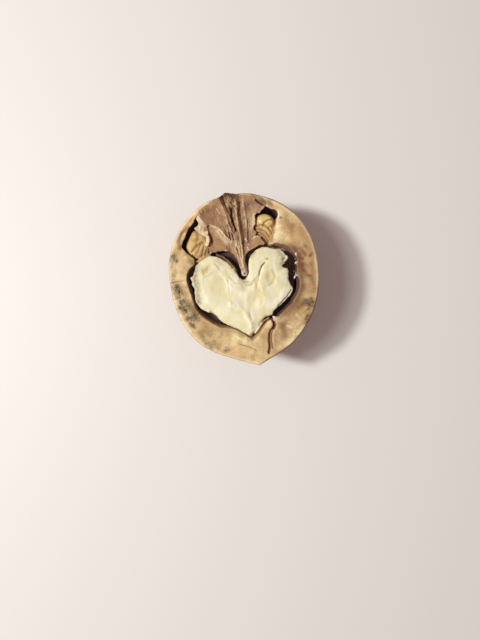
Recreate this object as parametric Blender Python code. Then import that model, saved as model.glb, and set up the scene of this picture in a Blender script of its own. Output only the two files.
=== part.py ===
"""A cracked walnut: one half of the nut, lying on its round back with the split face up.

Three pieces: the woody half shell with its split rim, the papery septum that fans
from the stem end to the cleft of the kernel, and the kernel, whose broken neck shows
as a pale heart. Lengths are millimetres until new_object turns them into metres.
X runs across the nut, +Y runs from the pointed tip to the stem end, +Z is up.
"""

import math

import bmesh
import bpy
from mathutils import Vector, noise

MM = 0.001

# The shell: a round-backed bowl, cut off flat at the split
RIM_HEIGHT = 17.0
WALL = 1.8
FULLNESS = 0.9
REST_SINK = 0.16
TIP_REACH = 1.25
TIP_WIDTH = math.radians(6.5)

# Radius of the split face's outline at equal turns from +X, counter-clockwise
RIM_RADII = (
    17.8, 18.8, 19.95, 20.35, 20.5, 20.2, 19.5, 18.45,
    17.8, 18.2, 18.95, 19.2, 19.85, 19.15, 18.05, 17.7,
)

# Furrows in the back: they wander along the nut and fade out below the rim and at the foot
FURROW_DEPTH = 0.5
FURROW_WIDTH = 0.13
FURROW_SPACING = (4.6, 9.5, 4.6)
FURROW_BEND = 0.8
FURROW_BEND_SIZE = 9.0
SWELL_SHARE = 0.35
SWELL_SIZE = 3.2
SWELL_OFFSET = Vector((7, 0, 0))
RIM_BAND = 3.5
FOOT_BAND = 1.0
# The seam between the two halves stands proud as a narrow lip round the rim
SEAM_STEP = 0.35
SEAM_BAND = 0.9
SEAM_FADE = 6.0

# The cavity under the split face's woody plate, which thins from its middle to the wall
CEILING_HEIGHT = 15.7
CEILING_FALL = 1.7
CEILING_SHARES = (0.8, 0.55, 0.3)
CAVITY_HEIGHT = CEILING_HEIGHT - CEILING_FALL

# The opening in the split face, counter-clockwise from the heart's upper right
OPENING = (
    (7.4, 7.3), (9.0, 7.3), (10.8, 6.6), (12.3, 5.5), (13.1, 3.8), (13.4, 1.5),
    (13.4, -1.0), (13.0, -3.5), (12.0, -5.8), (10.6, -7.8), (9.2, -9.6), (7.2, -10.6),
    (5.4, -11.0), (3.6, -11.5), (2.0, -12.8), (0.6, -14.2), (-0.7, -15.4),
    (-1.9, -14.0), (-3.6, -12.4), (-5.8, -11.3), (-8.2, -10.7), (-10.2, -9.2),
    (-12.0, -7.1), (-13.2, -5.2), (-13.7, -2.5), (-13.9, 0.3), (-13.6, 2.8),
    (-12.6, 4.7), (-11.1, 5.9), (-11.6, 7.5), (-13.0, 8.8), (-13.9, 10.8),
    (-13.5, 12.6), (-11.8, 14.2), (-10.0, 15.7), (-8.4, 17.0), (-6.4, 18.0),
    (-4.2, 18.8), (-1.8, 19.3), (1.6, 19.2), (4.4, 18.7), (6.6, 17.7), (8.4, 16.5),
    (10.1, 15.1), (10.5, 13.6), (10.0, 12.0), (9.1, 10.6), (8.4, 9.0),
)
OPENING_TAPER = 0.012
OPENING_FLOOR = CAVITY_HEIGHT - 0.6
CUT_TOP = RIM_HEIGHT + 1.0

# Where the stem's fibres leave the shell: left, right, inner and outer end
NOTCH = (-3.0, 2.8, 17.5, 22.5)
NOTCH_DEPTH = 2.3
# The crack near the tip narrows from its mouth to its end
CRACK = ((5.2, -10.2), (5.4, -12.0), (5.0, -12.9), (4.1, -13.2), (3.6, -14.4), (3.3, -17.0), (2.7, -18.4))
CRACK_WIDTH = 0.5
CRACK_NARROWING = 0.6
CRACK_DEPTH = 1.4

# The kernel: outline of its broken neck, counter-clockwise from the foot of the cleft
HEART = (
    (0.0, -0.1), (-1.0, 0.5), (-1.5, 1.7), (-2.0, 2.9), (-3.0, 4.2), (-4.4, 5.6),
    (-5.8, 6.5), (-7.2, 6.9), (-8.8, 6.3), (-10.2, 5.5), (-11.4, 4.5), (-12.5, 2.8),
    (-12.8, 0.6), (-12.6, -1.8), (-12.2, -4.2), (-10.8, -5.9), (-9.0, -7.2),
    (-7.6, -8.7), (-5.6, -10.1), (-3.6, -11.4), (-2.0, -12.9), (-0.7, -13.7),
    (0.5, -12.6), (1.9, -11.0), (3.3, -9.8), (5.2, -9.5), (7.2, -8.7), (9.2, -7.2),
    (10.8, -5.4), (10.9, -3.2), (10.8, -0.6), (10.3, 1.3), (10.9, 3.4), (9.9, 5.3),
    (8.2, 5.9), (6.4, 6.6), (4.8, 6.4), (3.2, 5.6), (2.3, 4.4), (1.7, 2.8), (1.3, 1.0),
)
KERNEL_CENTRE = (0.0, -2.5)
KERNEL_CLEARANCE = 1.2
FLOOR_GAP = 0.35
CEILING_GAP = 0.4
# The face of the neck is two soft pillows with a valley between them
FACE_HEIGHT = RIM_HEIGHT - 0.75
FACE_CROWN = 0.9
FACE_EDGE = 0.5
FACE_SHARES = (0.25, 0.5, 0.72, 0.88, 0.97)
VALLEY_WIDTH = 2.2
VALLEY_DEPTH = 0.6
VALLEY_END = -14.0
# Direction in degrees, and how far the kernel's shoulder lies below the rim
SHOULDER_FALL = ((0, 8.0), (45, 3.2), (90, 2.9), (140, 2.9), (175, 5.0), (230, 4.5), (270, 4.0), (310, 7.0))
SHOULDER_SHARES = (0.04, 0.12, 0.25, 0.38, 0.52, 0.66, 0.8, 0.92, 1.0)
SHOULDER_ROUND = 1.5
# Lobes that swell up into the two torn windows: centre, half sizes, turn, height
LOBES = (
    ((-9.5, 9.9), (2.2, 3.2), math.radians(-25), 1.5),
    ((6.9, 11.7), (2.1, 4.0), math.radians(-8), 1.7),
)
BELLY_RINGS = 9
BELLY_MIDDLE = 12.0
GYRUS_HEIGHT = 0.5
GYRUS_SIZE = (3.0, 3.6, 2.6)
GYRUS_FADE = 4.0

# The septum, row by row from the stem end to its foot: y, left x, right x, height above the rim
SEPTUM_ROWS = (
    (21.15, -1.7, 0.4, 0.25), (20.6, -2.3, 1.8, 0.45), (19.5, -2.5, 2.3, 0.4),
    (18.7, -2.7, 2.5, 0.35), (18.1, -4.8, 4.6, 0.3), (17.3, -6.7, 6.4, 0.2),
    (16.4, -8.3, 7.5, 0.1), (15.1, -8.8, 6.3, 0.05), (14.1, -9.7, 5.0, 0.0),
    (13.0, -9.1, 4.8, -0.05), (11.8, -8.2, 4.3, -0.1), (10.6, -7.9, 4.3, -0.15),
    (9.5, -7.9, 4.9, -0.2), (8.6, -7.5, 5.7, -0.3), (7.9, -7.2, 6.0, -0.4),
    (7.3, -5.6, 5.0, -0.45), (6.5, -2.5, 3.3, -0.5), (5.4, -1.4, 1.6, -0.6),
    (4.2, -0.8, 1.0, -0.7), (2.8, -0.5, 0.75, -0.8), (1.7, -0.5, 0.8, -0.8),
    (0.9, -0.2, 0.6, -0.9),
)
SEPTUM_COLUMNS = 14
SEPTUM_EDGE = 0.6
SEPTUM_CORE = 1.5
CORE_WIDTH = 2.4
# Rows narrower than this have lower ridges and a thinner core
FULL_SPREAD = 6.0
# The fibres fan out from a point below the foot
FIBRE_SOURCE = (0.2, -4.0)
FIBRE_PITCH = math.radians(6.5)
FIBRE_HEIGHT = 0.22
# A smooth hollow beside the middle bundle: centre, half sizes, depth
BOWL_CENTRE = (-5.2, 15.5)
BOWL_SIZE = (2.2, 3.0)
BOWL_DEPTH = 0.7

RIM_COLUMNS = 96
DOME_RINGS = 23
CAVITY_COLUMNS = 48
CAVITY_RINGS = 10
SMOOTH_STEPS = 2
SHARP_ANGLE = math.radians(40)

# Colour, roughness
SHELL_FINISH = ((0.50, 0.33, 0.17), 0.75)
SEPTUM_FINISH = ((0.30, 0.19, 0.12), 0.8)
KERNEL_FINISH = ((0.80, 0.68, 0.42), 0.55)


def clear_scene():
    for old in list(bpy.data.objects):
        bpy.data.objects.remove(old, do_unlink=True)


def new_material(name, finish):
    colour, roughness = finish
    material = bpy.data.materials.new(name)
    material.use_nodes = True
    shader = material.node_tree.nodes["Principled BSDF"]
    shader.inputs["Base Color"].default_value = (*colour, 1.0)
    shader.inputs["Roughness"].default_value = roughness
    shader.inputs["Metallic"].default_value = 0.0
    return material


def smooth_step(low, high, value):
    t = min(1.0, max(0.0, (value - low) / (high - low)))
    return t * t * (3 - 2 * t)


def cubic(before, start, end, after, t):
    """Catmull-Rom curve from start to end."""
    return start + 0.5 * t * (
        end - before + t * (2 * before - 5 * start + 4 * end - after + t * (3 * (start - end) + after - before))
    )


def closed_curve(points):
    """A smooth closed line through the points, with SMOOTH_STEPS steps to each span."""
    corners = [Vector(p) for p in points]
    count = len(corners)
    line = []
    for i in range(count):
        near = [corners[(i + k) % count] for k in (-1, 0, 1, 2)]
        line.extend(cubic(*near, step / SMOOTH_STEPS) for step in range(SMOOTH_STEPS))
    return line


def turns(count):
    return [math.tau * i / count for i in range(count)]


def rim_radius(angle):
    """Radius of the shell's outline at an angle from +X: smooth, with the nut's pointed tip at -Y."""
    count = len(RIM_RADII)
    place = angle / math.tau * count
    first = math.floor(place)
    near = [RIM_RADII[(first + k) % count] for k in (-1, 0, 1, 2)]
    off_tip = (angle + math.pi / 2 + math.pi) % math.tau - math.pi
    return cubic(*near, place - first) + TIP_REACH * math.exp(-abs(off_tip) / TIP_WIDTH)


def cavity_radius(x, y):
    """The cavity's widest reach from the nut's axis, in the direction of a point."""
    return rim_radius(math.atan2(y, x)) - WALL


def outline_centre():
    """Middle of the box round the split face and the stem's fibres, which becomes the origin."""
    across = [rim_radius(a) * math.cos(a) for a in turns(RIM_COLUMNS)]
    along = [rim_radius(a) * math.sin(a) for a in turns(RIM_COLUMNS)] + [SEPTUM_ROWS[0][0]]
    return (min(across) + max(across)) / 2, (min(along) + max(along)) / 2


CENTRE = outline_centre()


def new_object(name, faces_of, material=None):
    """An object whose mesh faces_of(bm) fills in millimetres, moved to the origin and turned into metres."""
    bm = bmesh.new()
    faces_of(bm)
    bmesh.ops.translate(bm, verts=bm.verts, vec=(-CENTRE[0], -CENTRE[1], 0))
    bmesh.ops.scale(bm, verts=bm.verts, vec=(MM, MM, MM))
    bmesh.ops.recalc_face_normals(bm, faces=bm.faces)
    mesh = bpy.data.meshes.new(name)
    bm.to_mesh(mesh)
    bm.free()
    obj = bpy.data.objects.new(name, mesh)
    bpy.context.scene.collection.objects.link(obj)
    if material:
        mesh.materials.append(material)
        mesh.shade_smooth()
        mesh.set_sharp_from_angle(angle=SHARP_ANGLE)
    return obj


def loft(bm, rings):
    """Skins closed rings into one closed body. A ring of one point is a pole, others end in flat caps."""
    loops = [[bm.verts.new(p) for p in ring] for ring in rings]
    for lower, upper in zip(loops, loops[1:]):
        count = max(len(lower), len(upper))
        for i in range(count):
            j = (i + 1) % count
            if len(lower) == 1:
                bm.faces.new((lower[0], upper[j], upper[i]))
            elif len(upper) == 1:
                bm.faces.new((lower[i], lower[j], upper[0]))
            else:
                bm.faces.new((lower[i], lower[j], upper[j], upper[i]))
    for cap in (loops[0], loops[-1]):
        if len(cap) > 1:
            bm.faces.new(cap)


def upright_prism(bm, line, low, high):
    loft(bm, [[(*p, z) for p in line] for z in (low, high)])


def cut(target, name, faces_of):
    """Takes the shape out of the target with a Boolean, and hides the cutter."""
    cutter = new_object(name, faces_of)
    cutter.hide_render = True
    cutter.display_type = "WIRE"
    modifier = target.modifiers.new(name, "BOOLEAN")
    modifier.operation = "DIFFERENCE"
    modifier.object = cutter


def dome_point(angle, lift, radius, floor, height):
    """A point of a round-backed bowl: lift is 0 at its lowest point and a right angle at its rim."""
    reach = radius * math.sin(lift) ** FULLNESS
    rise = 1 - max(0.0, math.cos(lift)) ** FULLNESS
    return Vector((reach * math.cos(angle), reach * math.sin(angle), floor + (height - floor) * rise))


def furrow(point):
    """How deep the back lies under a smooth bowl: wandering furrows, dimples and the step below the seam."""
    bend = noise.noise(point / FURROW_BEND_SIZE) * FURROW_BEND
    spaced = Vector([place / spacing for place, spacing in zip(point, FURROW_SPACING)])
    along = spaced + Vector((bend, 0, -bend))
    groove = math.exp(-((noise.noise(along) / FURROW_WIDTH) ** 2))
    swell = SWELL_SHARE * noise.noise(point / SWELL_SIZE + SWELL_OFFSET)
    below = RIM_HEIGHT - point.z
    fade = smooth_step(0.0, RIM_BAND, below) * smooth_step(0.0, FOOT_BAND, point.z)
    seam = SEAM_STEP * smooth_step(SEAM_BAND, 2 * SEAM_BAND, below) * smooth_step(0.0, SEAM_FADE, point.z)
    return FURROW_DEPTH * fade * (groove + swell) + seam


def lift_at(height):
    """The lift at which the shell's back reaches a height above its lowest point, before that is cut flat."""
    return math.acos((1 - height / (RIM_HEIGHT + REST_SINK)) ** (1 / FULLNESS))


def shell_back(bm):
    first_lift = lift_at(REST_SINK)
    lifts = [first_lift + (math.pi / 2 - first_lift) * ring / DOME_RINGS for ring in range(DOME_RINGS + 1)]
    lifts.insert(-1, lift_at(RIM_HEIGHT + REST_SINK - SEAM_BAND))
    rings = []
    for lift in lifts:
        row = []
        for angle in turns(RIM_COLUMNS):
            point = dome_point(angle, lift, rim_radius(angle), -REST_SINK, RIM_HEIGHT)
            inward = Vector((0, 0, RIM_HEIGHT)) - point
            row.append(point + inward.normalized() * furrow(point))
        rings.append(row)
    rings[0] = [Vector((p.x, p.y, 0)) for p in rings[0]]
    loft(bm, rings)


def ceiling(share):
    """Height of the cavity's ceiling, the underside of the split face's woody plate."""
    return CEILING_HEIGHT - CEILING_FALL * share * share


def cavity(bm):
    angles = turns(CAVITY_COLUMNS)
    rings = [[Vector((0, 0, WALL))]]
    for ring in range(1, CAVITY_RINGS + 1):
        lift = math.pi / 2 * ring / CAVITY_RINGS
        rings.append([dome_point(a, lift, rim_radius(a) - WALL, WALL, CAVITY_HEIGHT) for a in angles])
    for share in CEILING_SHARES:
        reaches = [(rim_radius(a) - WALL) * share for a in angles]
        spots = [(r * math.cos(a), r * math.sin(a)) for r, a in zip(reaches, angles)]
        rings.append([Vector((*spot, ceiling(share))) for spot in spots])
    rings.append([Vector((0, 0, CEILING_HEIGHT))])
    loft(bm, rings)


def opening(bm):
    """The heart and the two windows run together behind the septum, with walls that lean inwards below."""
    line = closed_curve(OPENING)
    rings = []
    for height in (OPENING_FLOOR, CUT_TOP):
        share = 1 - OPENING_TAPER * (RIM_HEIGHT - height)
        rings.append([(*(p * share), height) for p in line])
    loft(bm, rings)


def notch(bm):
    left, right, inner, outer = NOTCH
    corners = ((left, inner), (right, inner), (right, outer), (left, outer))
    upright_prism(bm, corners, RIM_HEIGHT - NOTCH_DEPTH, CUT_TOP)


def crack(bm):
    """A jagged slot that follows the crack, narrowing to its end."""
    points = [Vector(p) for p in CRACK]
    last = len(points) - 1
    one_side, other_side = [], []
    for i, point in enumerate(points):
        along = (points[min(i + 1, last)] - points[max(i - 1, 0)]).normalized()
        half = CRACK_WIDTH / 2 * (1 - CRACK_NARROWING * i / last)
        aside = Vector((-along.y, along.x)) * half
        one_side.append(point + aside)
        other_side.append(point - aside)
    upright_prism(bm, one_side + other_side[::-1], RIM_HEIGHT - CRACK_DEPTH, CUT_TOP)


def make_shell():
    shell = new_object("shell", shell_back, new_material("shell_wood", SHELL_FINISH))
    cut(shell, "cut_cavity", cavity)
    cut(shell, "cut_opening", opening)
    cut(shell, "cut_notch", notch)
    cut(shell, "cut_crack", crack)


def cavity_reach(centre, direction):
    """How far the cavity's widest outline lies from centre, found by halving."""
    near, far = 0.0, 30.0
    for _ in range(30):
        middle = (near + far) / 2
        x, y = centre + direction * middle
        inside = math.hypot(x, y) < cavity_radius(x, y)
        near, far = (middle, far) if inside else (near, middle)
    return near


def cavity_share(height):
    """The cavity's reach at a height, as a share of its widest reach."""
    rise = min(1.0, max(0.0, (height - WALL) / (CAVITY_HEIGHT - WALL)))
    lift = math.acos((1 - rise) ** (1 / FULLNESS))
    return math.sin(lift) ** FULLNESS


def shoulder_height(direction):
    """Height of the kernel's shoulder in a direction, read from SHOULDER_FALL."""
    turn = math.degrees(math.atan2(direction.y, direction.x)) % 360
    stops = [*SHOULDER_FALL, (SHOULDER_FALL[0][0] + 360, SHOULDER_FALL[0][1])]
    for (start, fall), (end, next_fall) in zip(stops, stops[1:]):
        if start <= turn <= end:
            return RIM_HEIGHT - fall - (next_fall - fall) * smooth_step(start, end, turn)
    return RIM_HEIGHT - stops[0][1]


def lobe_lift(x, y):
    """How much the lobes under the windows rise above the shoulder."""
    lift = 0.0
    for centre, half, turn, height in LOBES:
        across, along = x - centre[0], y - centre[1]
        u = (across * math.cos(turn) + along * math.sin(turn)) / half[0]
        v = (along * math.cos(turn) - across * math.sin(turn)) / half[1]
        lift = max(lift, height * math.sqrt(max(0.0, 1 - u * u - v * v)))
    return lift


def face_height(x, y, share):
    """The broken neck's face, where share runs from its middle to its edge."""
    valley = math.exp(-((x / VALLEY_WIDTH) ** 2)) * smooth_step(VALLEY_END, 0, y)
    return FACE_HEIGHT + FACE_CROWN * (1 - share**3) * (1 - VALLEY_DEPTH * valley)


def gyri(x, y, z):
    """Folds of the kernel's brown flanks."""
    across, along, up = GYRUS_SIZE
    return GYRUS_HEIGHT * noise.noise(Vector((x / across, y / along, z / up)))


def face_rings(centre, columns):
    rings = []
    for share in FACE_SHARES:
        spots = [centre + direction * neck * share for direction, neck, _ in columns]
        rings.append([Vector((x, y, face_height(x, y, share))) for x, y in spots])
    rings.append([Vector((*(centre + d * neck), FACE_HEIGHT - FACE_EDGE)) for d, neck, _ in columns])
    return rings


def shoulder_rings(centre, columns):
    """From the neck out to the kernel's widest line, under the split face's plate."""
    rings = []
    for share in SHOULDER_SHARES:
        ring = []
        for direction, neck, reach in columns:
            shoulder = shoulder_height(direction)
            widest = reach * cavity_share(shoulder - SHOULDER_ROUND) - KERNEL_CLEARANCE
            x, y = centre + direction * (neck + (widest - neck) * share)
            under = ceiling(math.hypot(x, y) / cavity_radius(x, y)) - CEILING_GAP
            z = min(shoulder, under) + lobe_lift(x, y) - SHOULDER_ROUND * share**4
            ring.append(Vector((x, y, z)))
        rings.append(ring)
    return rings


def belly_rings(centre, widest_ring):
    """The folded back of the kernel, which follows the cavity down to its floor."""
    floor = WALL + FLOOR_GAP
    middle = Vector((*centre, BELLY_MIDDLE))
    rings = []
    for step in range(1, BELLY_RINGS):
        lift = math.pi / 2 * (1 - step / BELLY_RINGS)
        ring = []
        for edge in widest_ring:
            z = floor + (edge.z - floor) * (1 - math.cos(lift) ** FULLNESS)
            reach = cavity_share(z - FLOOR_GAP) / cavity_share(edge.z)
            point = Vector((*centre.lerp(edge.xy, reach), z))
            fold = GYRUS_HEIGHT + gyri(*point) * smooth_step(0, GYRUS_FADE, z - floor)
            ring.append(point + (middle - point).normalized() * fold)
        rings.append(ring)
    rings.append([Vector((*centre, floor))])
    return rings


def kernel_body(bm):
    centre = Vector(KERNEL_CENTRE)
    columns = []
    for corner in closed_curve(HEART):
        outward = corner - centre
        direction = outward.normalized()
        columns.append((direction, outward.length, cavity_reach(centre, direction)))
    rings = [[Vector((*centre, face_height(*centre, 0)))]]
    rings += face_rings(centre, columns)
    rings += shoulder_rings(centre, columns)
    rings += belly_rings(centre, rings[-1])
    loft(bm, rings[::-1])


def make_kernel():
    new_object("kernel", kernel_body, new_material("kernel_flesh", KERNEL_FINISH))


def fibre_ridge(x, y):
    """Ridges along the fibres, which run straight out from their source."""
    spoke = math.atan2(x - FIBRE_SOURCE[0], y - FIBRE_SOURCE[1])
    return FIBRE_HEIGHT * math.cos(math.tau * spoke / FIBRE_PITCH)


def bowl_fall(x, y):
    across = (x - BOWL_CENTRE[0]) / BOWL_SIZE[0]
    along = (y - BOWL_CENTRE[1]) / BOWL_SIZE[1]
    return BOWL_DEPTH * math.exp(-across * across - along * along)


def septum_sheet(bm):
    """A fan of fibres: each row is a strip of it, thick at the middle bundle and thin at the torn edges."""
    rings = []
    for y, left, right, lift in SEPTUM_ROWS:
        spread = min(1.0, (right - left) / FULL_SPREAD)
        upper, lower = [], []
        for column in range(SEPTUM_COLUMNS + 1):
            share = column / SEPTUM_COLUMNS
            x = left + (right - left) * share
            edge_fade = 1 - (2 * share - 1) ** 4
            z = RIM_HEIGHT + lift + fibre_ridge(x, y) * spread * edge_fade - bowl_fall(x, y)
            core = math.exp(-((x / CORE_WIDTH) ** 2)) * spread
            upper.append(Vector((x, y, z)))
            lower.append(Vector((x, y, z - SEPTUM_EDGE - (SEPTUM_CORE - SEPTUM_EDGE) * core)))
        rings.append(upper + lower[::-1])
    loft(bm, rings)


def make_septum():
    new_object("septum", septum_sheet, new_material("septum_paper", SEPTUM_FINISH))


clear_scene()
make_shell()
make_kernel()
make_septum()
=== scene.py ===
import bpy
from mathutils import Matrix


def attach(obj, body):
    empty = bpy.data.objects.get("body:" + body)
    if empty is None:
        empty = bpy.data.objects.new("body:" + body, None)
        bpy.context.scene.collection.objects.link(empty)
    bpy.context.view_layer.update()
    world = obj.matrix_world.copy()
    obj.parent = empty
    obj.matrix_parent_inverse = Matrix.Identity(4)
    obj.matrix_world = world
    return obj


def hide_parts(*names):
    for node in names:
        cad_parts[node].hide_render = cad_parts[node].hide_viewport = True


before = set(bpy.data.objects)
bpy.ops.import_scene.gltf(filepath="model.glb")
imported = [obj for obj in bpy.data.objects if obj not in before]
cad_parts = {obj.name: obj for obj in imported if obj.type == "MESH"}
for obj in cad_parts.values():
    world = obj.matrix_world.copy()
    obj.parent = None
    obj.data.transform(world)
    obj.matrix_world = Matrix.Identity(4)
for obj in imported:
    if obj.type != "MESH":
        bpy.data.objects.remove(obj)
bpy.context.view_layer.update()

"""The looks of a cracked walnut half, as three closed pieces: shell, kernel and septum.

Each piece is a solid field on a grid of points, negative inside, that is skinned with
quads and painted with soft strokes. The shell's back and the kernel's skin are also
roughened point by point. Lengths are millimetres in the nut's own frame until make_piece
turns them into metres: X runs across the nut, +Y to the stem end, Z up, with the split
face at RIM_HEIGHT.
"""

import math

import bpy
import numpy as np
from mathutils import Vector, noise

MM = 0.001

# The solids' origin in the nut's own frame
SOLID_ORIGIN = np.array((0.051, 0.0125, 0.0))

# The shell, as in the solids but for a slightly fuller outline
RIM_HEIGHT = 17.0
WALL = 1.8
FULLNESS = 0.9
REST_SINK = 0.16
TIP_REACH = 1.25
TIP_WIDTH = math.radians(6.5)
RIM_RADII = (
    18.05, 18.95, 20.0, 20.42, 20.7, 20.4, 19.52, 18.62,
    17.9, 18.3, 19.0, 19.27, 19.98, 19.5, 18.65, 18.15,
)
FURROW_DEPTH = 0.5
FURROW_WIDTH = 0.13
FURROW_SPACING = np.array((4.6, 9.5, 4.6))
FURROW_BEND = 0.8
FURROW_BEND_SIZE = 9.0
SWELL_SHARE = 0.35
SWELL_SIZE = 3.2
SWELL_OFFSET = np.array((7.0, 0.0, 0.0))
RIM_BAND = 3.5
FOOT_BAND = 1.0
SEAM_STEP = 0.35
SEAM_BAND = 0.9
SEAM_FADE = 6.0
# How deep the back's relief may go, and how thick the wall stays beside the opening
DEEPEST = 0.95
DEEPEST_ROUND = 0.3
LEAST_WALL = 1.35
CEILING_HEIGHT = 15.7
CEILING_FALL = 1.7
CEILING_REACH = 1.2
CAVITY_HEIGHT = CEILING_HEIGHT - CEILING_FALL
OPENING = (
    (7.4, 7.3), (8.7, 7.3), (9.9, 6.9), (11.4, 6.2), (12.4, 5.2), (13.0, 3.8), (13.3, 2.4),
    (13.1, 0.8), (12.9, -0.4), (13.2, -1.9), (13.2, -3.6), (12.5, -5.4), (11.2, -7.0),
    (10.2, -8.1), (8.7, -9.1), (7.2, -10.1), (6.0, -10.8), (5.0, -11.0), (3.8, -11.4),
    (2.5, -12.8), (1.0, -14.2), (-0.5, -15.3), (-1.2, -14.6), (-2.2, -13.5), (-3.5, -12.4),
    (-4.8, -11.6), (-6.2, -11.2), (-7.6, -10.8), (-8.9, -9.9), (-10.2, -8.9), (-11.5, -7.7),
    (-12.2, -6.6), (-12.9, -5.0), (-13.2, -3.4), (-13.4, -2.0), (-13.6, -0.4), (-13.8, 1.1),
    (-13.7, 2.4), (-13.2, 3.7), (-12.4, 4.8), (-11.3, 5.5), (-11.2, 6.6), (-11.8, 7.5),
    (-12.5, 8.4), (-13.0, 9.2), (-13.4, 10.2), (-13.0, 11.2), (-12.35, 12.0), (-11.8, 13.1),
    (-10.9, 14.2), (-9.7, 15.2), (-8.7, 16.5), (-6.4, 18.0), (-4.2, 18.8), (-1.8, 19.3),
    (1.6, 19.2), (4.4, 18.7), (6.6, 17.7), (8.0, 16.3), (9.2, 15.3), (10.2, 14.8),
    (10.5, 13.8), (10.1, 12.6), (9.8, 11.4), (9.1, 10.6), (8.5, 9.1),
)
CRACK = (
    (5.0, -10.9), (5.15, -11.6), (5.2, -12.3), (4.8, -12.9), (4.1, -13.3), (3.65, -14.2), (3.35, -15.6),
    (3.25, -17.0), (2.75, -18.5),
)

# The kernel, as in the solids
HEART = (
    (0.0, -0.1), (-1.0, 0.5), (-1.5, 1.7), (-2.0, 2.9), (-3.0, 4.2), (-4.4, 5.6), (-5.8, 6.5),
    (-7.2, 6.9), (-8.8, 6.4), (-10.2, 5.7), (-11.1, 5.2), (-11.4, 4.3), (-11.8, 3.5),
    (-12.3, 2.8), (-12.8, 2.4), (-12.6, 1.6), (-12.8, 0.7), (-12.4, -0.1), (-12.5, -1.3),
    (-12.6, -2.8), (-12.4, -4.0), (-11.9, -4.8), (-11.1, -5.7), (-10.1, -6.5), (-9.4, -6.6),
    (-8.9, -7.2), (-8.1, -8.0), (-7.7, -8.6), (-7.3, -9.1), (-6.5, -9.9), (-5.4, -10.6),
    (-4.3, -11.3), (-3.4, -11.9), (-2.2, -13.0), (-0.8, -14.0), (0.1, -13.3), (1.7, -11.7),
    (2.9, -10.3), (3.7, -9.9), (5.0, -9.8), (5.6, -8.9), (6.7, -8.2), (8.5, -7.1),
    (9.7, -6.2), (10.9, -5.0), (11.1, -3.9), (10.7, -3.1), (10.6, -1.4), (10.9, 0.1),
    (10.6, 0.9), (9.9, 1.4), (10.3, 2.2), (10.8, 2.6), (11.2, 3.3), (10.7, 4.3),
    (10.3, 5.1), (9.7, 5.7), (8.5, 5.9), (7.3, 6.3), (6.4, 6.7), (5.2, 6.8), (3.8, 6.3),
    (2.6, 5.5), (1.9, 4.4), (1.5, 2.8), (1.2, 1.0),
)
KERNEL_CENTRE = (0.0, -2.5)
FACE_HEIGHT = RIM_HEIGHT - 0.75
FACE_CROWN = 0.5
SHOULDER_FALL = ((0, 8.0), (45, 3.2), (90, 2.9), (140, 2.9), (175, 5.0), (230, 4.5), (270, 4.0), (310, 7.0))
SHOULDER_ROUND = 1.5

# The golden lobes in the two windows: outline, height of the top, and how far in it is reached
LEFT_LOBE = (
    (-10.0, 13.9), (-11.2, 12.9), (-12.2, 11.6), (-12.8, 10.3), (-12.8, 9.1), (-12.4, 8.0), (-11.5, 6.9),
    (-10.4, 6.4), (-9.2, 6.6), (-7.9, 7.0), (-6.8, 8.0), (-6.6, 9.6), (-6.8, 11.4), (-7.6, 13.0),
)
RIGHT_LOBE = (
    (5.4, 14.6), (4.6, 13.4), (4.3, 12.0), (4.2, 10.8), (4.6, 9.7), (5.4, 8.8), (6.0, 7.8), (6.8, 7.1),
    (7.9, 7.6), (8.7, 8.7), (9.3, 9.8), (9.9, 11.0), (10.1, 12.2), (9.8, 13.2), (9.0, 14.2), (7.6, 14.9),
    (6.5, 14.9),
)
LOBES = ((LEFT_LOBE, 16.3, 1.7), (RIGHT_LOBE, 16.35, 1.4))
CAP_CENTRE = (7.5, 13.2)
CAP_RADIUS = 2.1
CAP_RISE = 0.6

# The skin that joins the left lobe to the heart
WEB = ((-11.3, 5.9), (-9.7, 6.4), (-8.1, 7.0), (-7.0, 7.4))
WEB_HEIGHT = 16.1

# The rolled edge of skin between the cleft and the flesh: a line of points, height, half width
SKIN_ROLLS = (
    (((-5.6, 7.1), (-4.3, 6.3), (-3.1, 5.1), (-2.2, 3.8), (-1.6, 2.4)), 15.1, 0.42),
    (((5.6, 7.4), (4.0, 7.0), (2.6, 6.3), (1.9, 5.5)), 15.0, 0.32),
    (((0.5, -13.35), (1.8, -12.05), (2.9, -10.95), (4.2, -10.4)), 15.85, 0.36),
)

# The septum: its outline, which runs over the rim at the stem end, and the height of its top
FAN = (
    (0.75, 0.7), (0.98, 1.3), (0.8, 2.0), (0.7, 2.9), (0.8, 4.2), (1.1, 5.2), (2.0, 6.2), (3.4, 6.8),
    (4.6, 7.2), (5.2, 7.6), (5.0, 8.6), (4.4, 9.4), (4.6, 10.0), (4.8, 10.5), (4.3, 11.2),
    (4.3, 12.0), (4.8, 12.3), (4.9, 12.9), (5.1, 13.6), (5.1, 14.5), (5.5, 14.9), (6.4, 14.9),
    (6.7, 15.3), (7.4, 15.8), (7.9, 16.3), (8.2, 17.2), (7.6, 18.4), (6.0, 19.0), (4.4, 19.5), (2.8, 19.9),
    (1.6, 20.3), (0.4, 20.7), (-0.4, 21.0), (-1.1, 21.15), (-1.8, 20.8), (-2.7, 20.2),
    (-4.4, 19.7), (-6.4, 18.9), (-8.0, 17.9), (-8.9, 16.8), (-8.6, 15.6), (-7.8, 14.4),
    (-7.6, 13.0), (-7.4, 11.6), (-7.1, 10.4), (-7.2, 9.2), (-7.3, 8.0), (-7.0, 7.3),
    (-6.5, 7.5), (-5.1, 7.6), (-3.7, 7.5), (-2.3, 7.0), (-1.5, 6.2), (-0.9, 4.9),
    (-0.65, 3.6), (-0.45, 2.5), (-0.4, 1.9), (-0.5, 1.2), (-0.2, 0.7), (0.25, 0.5),
)
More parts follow.
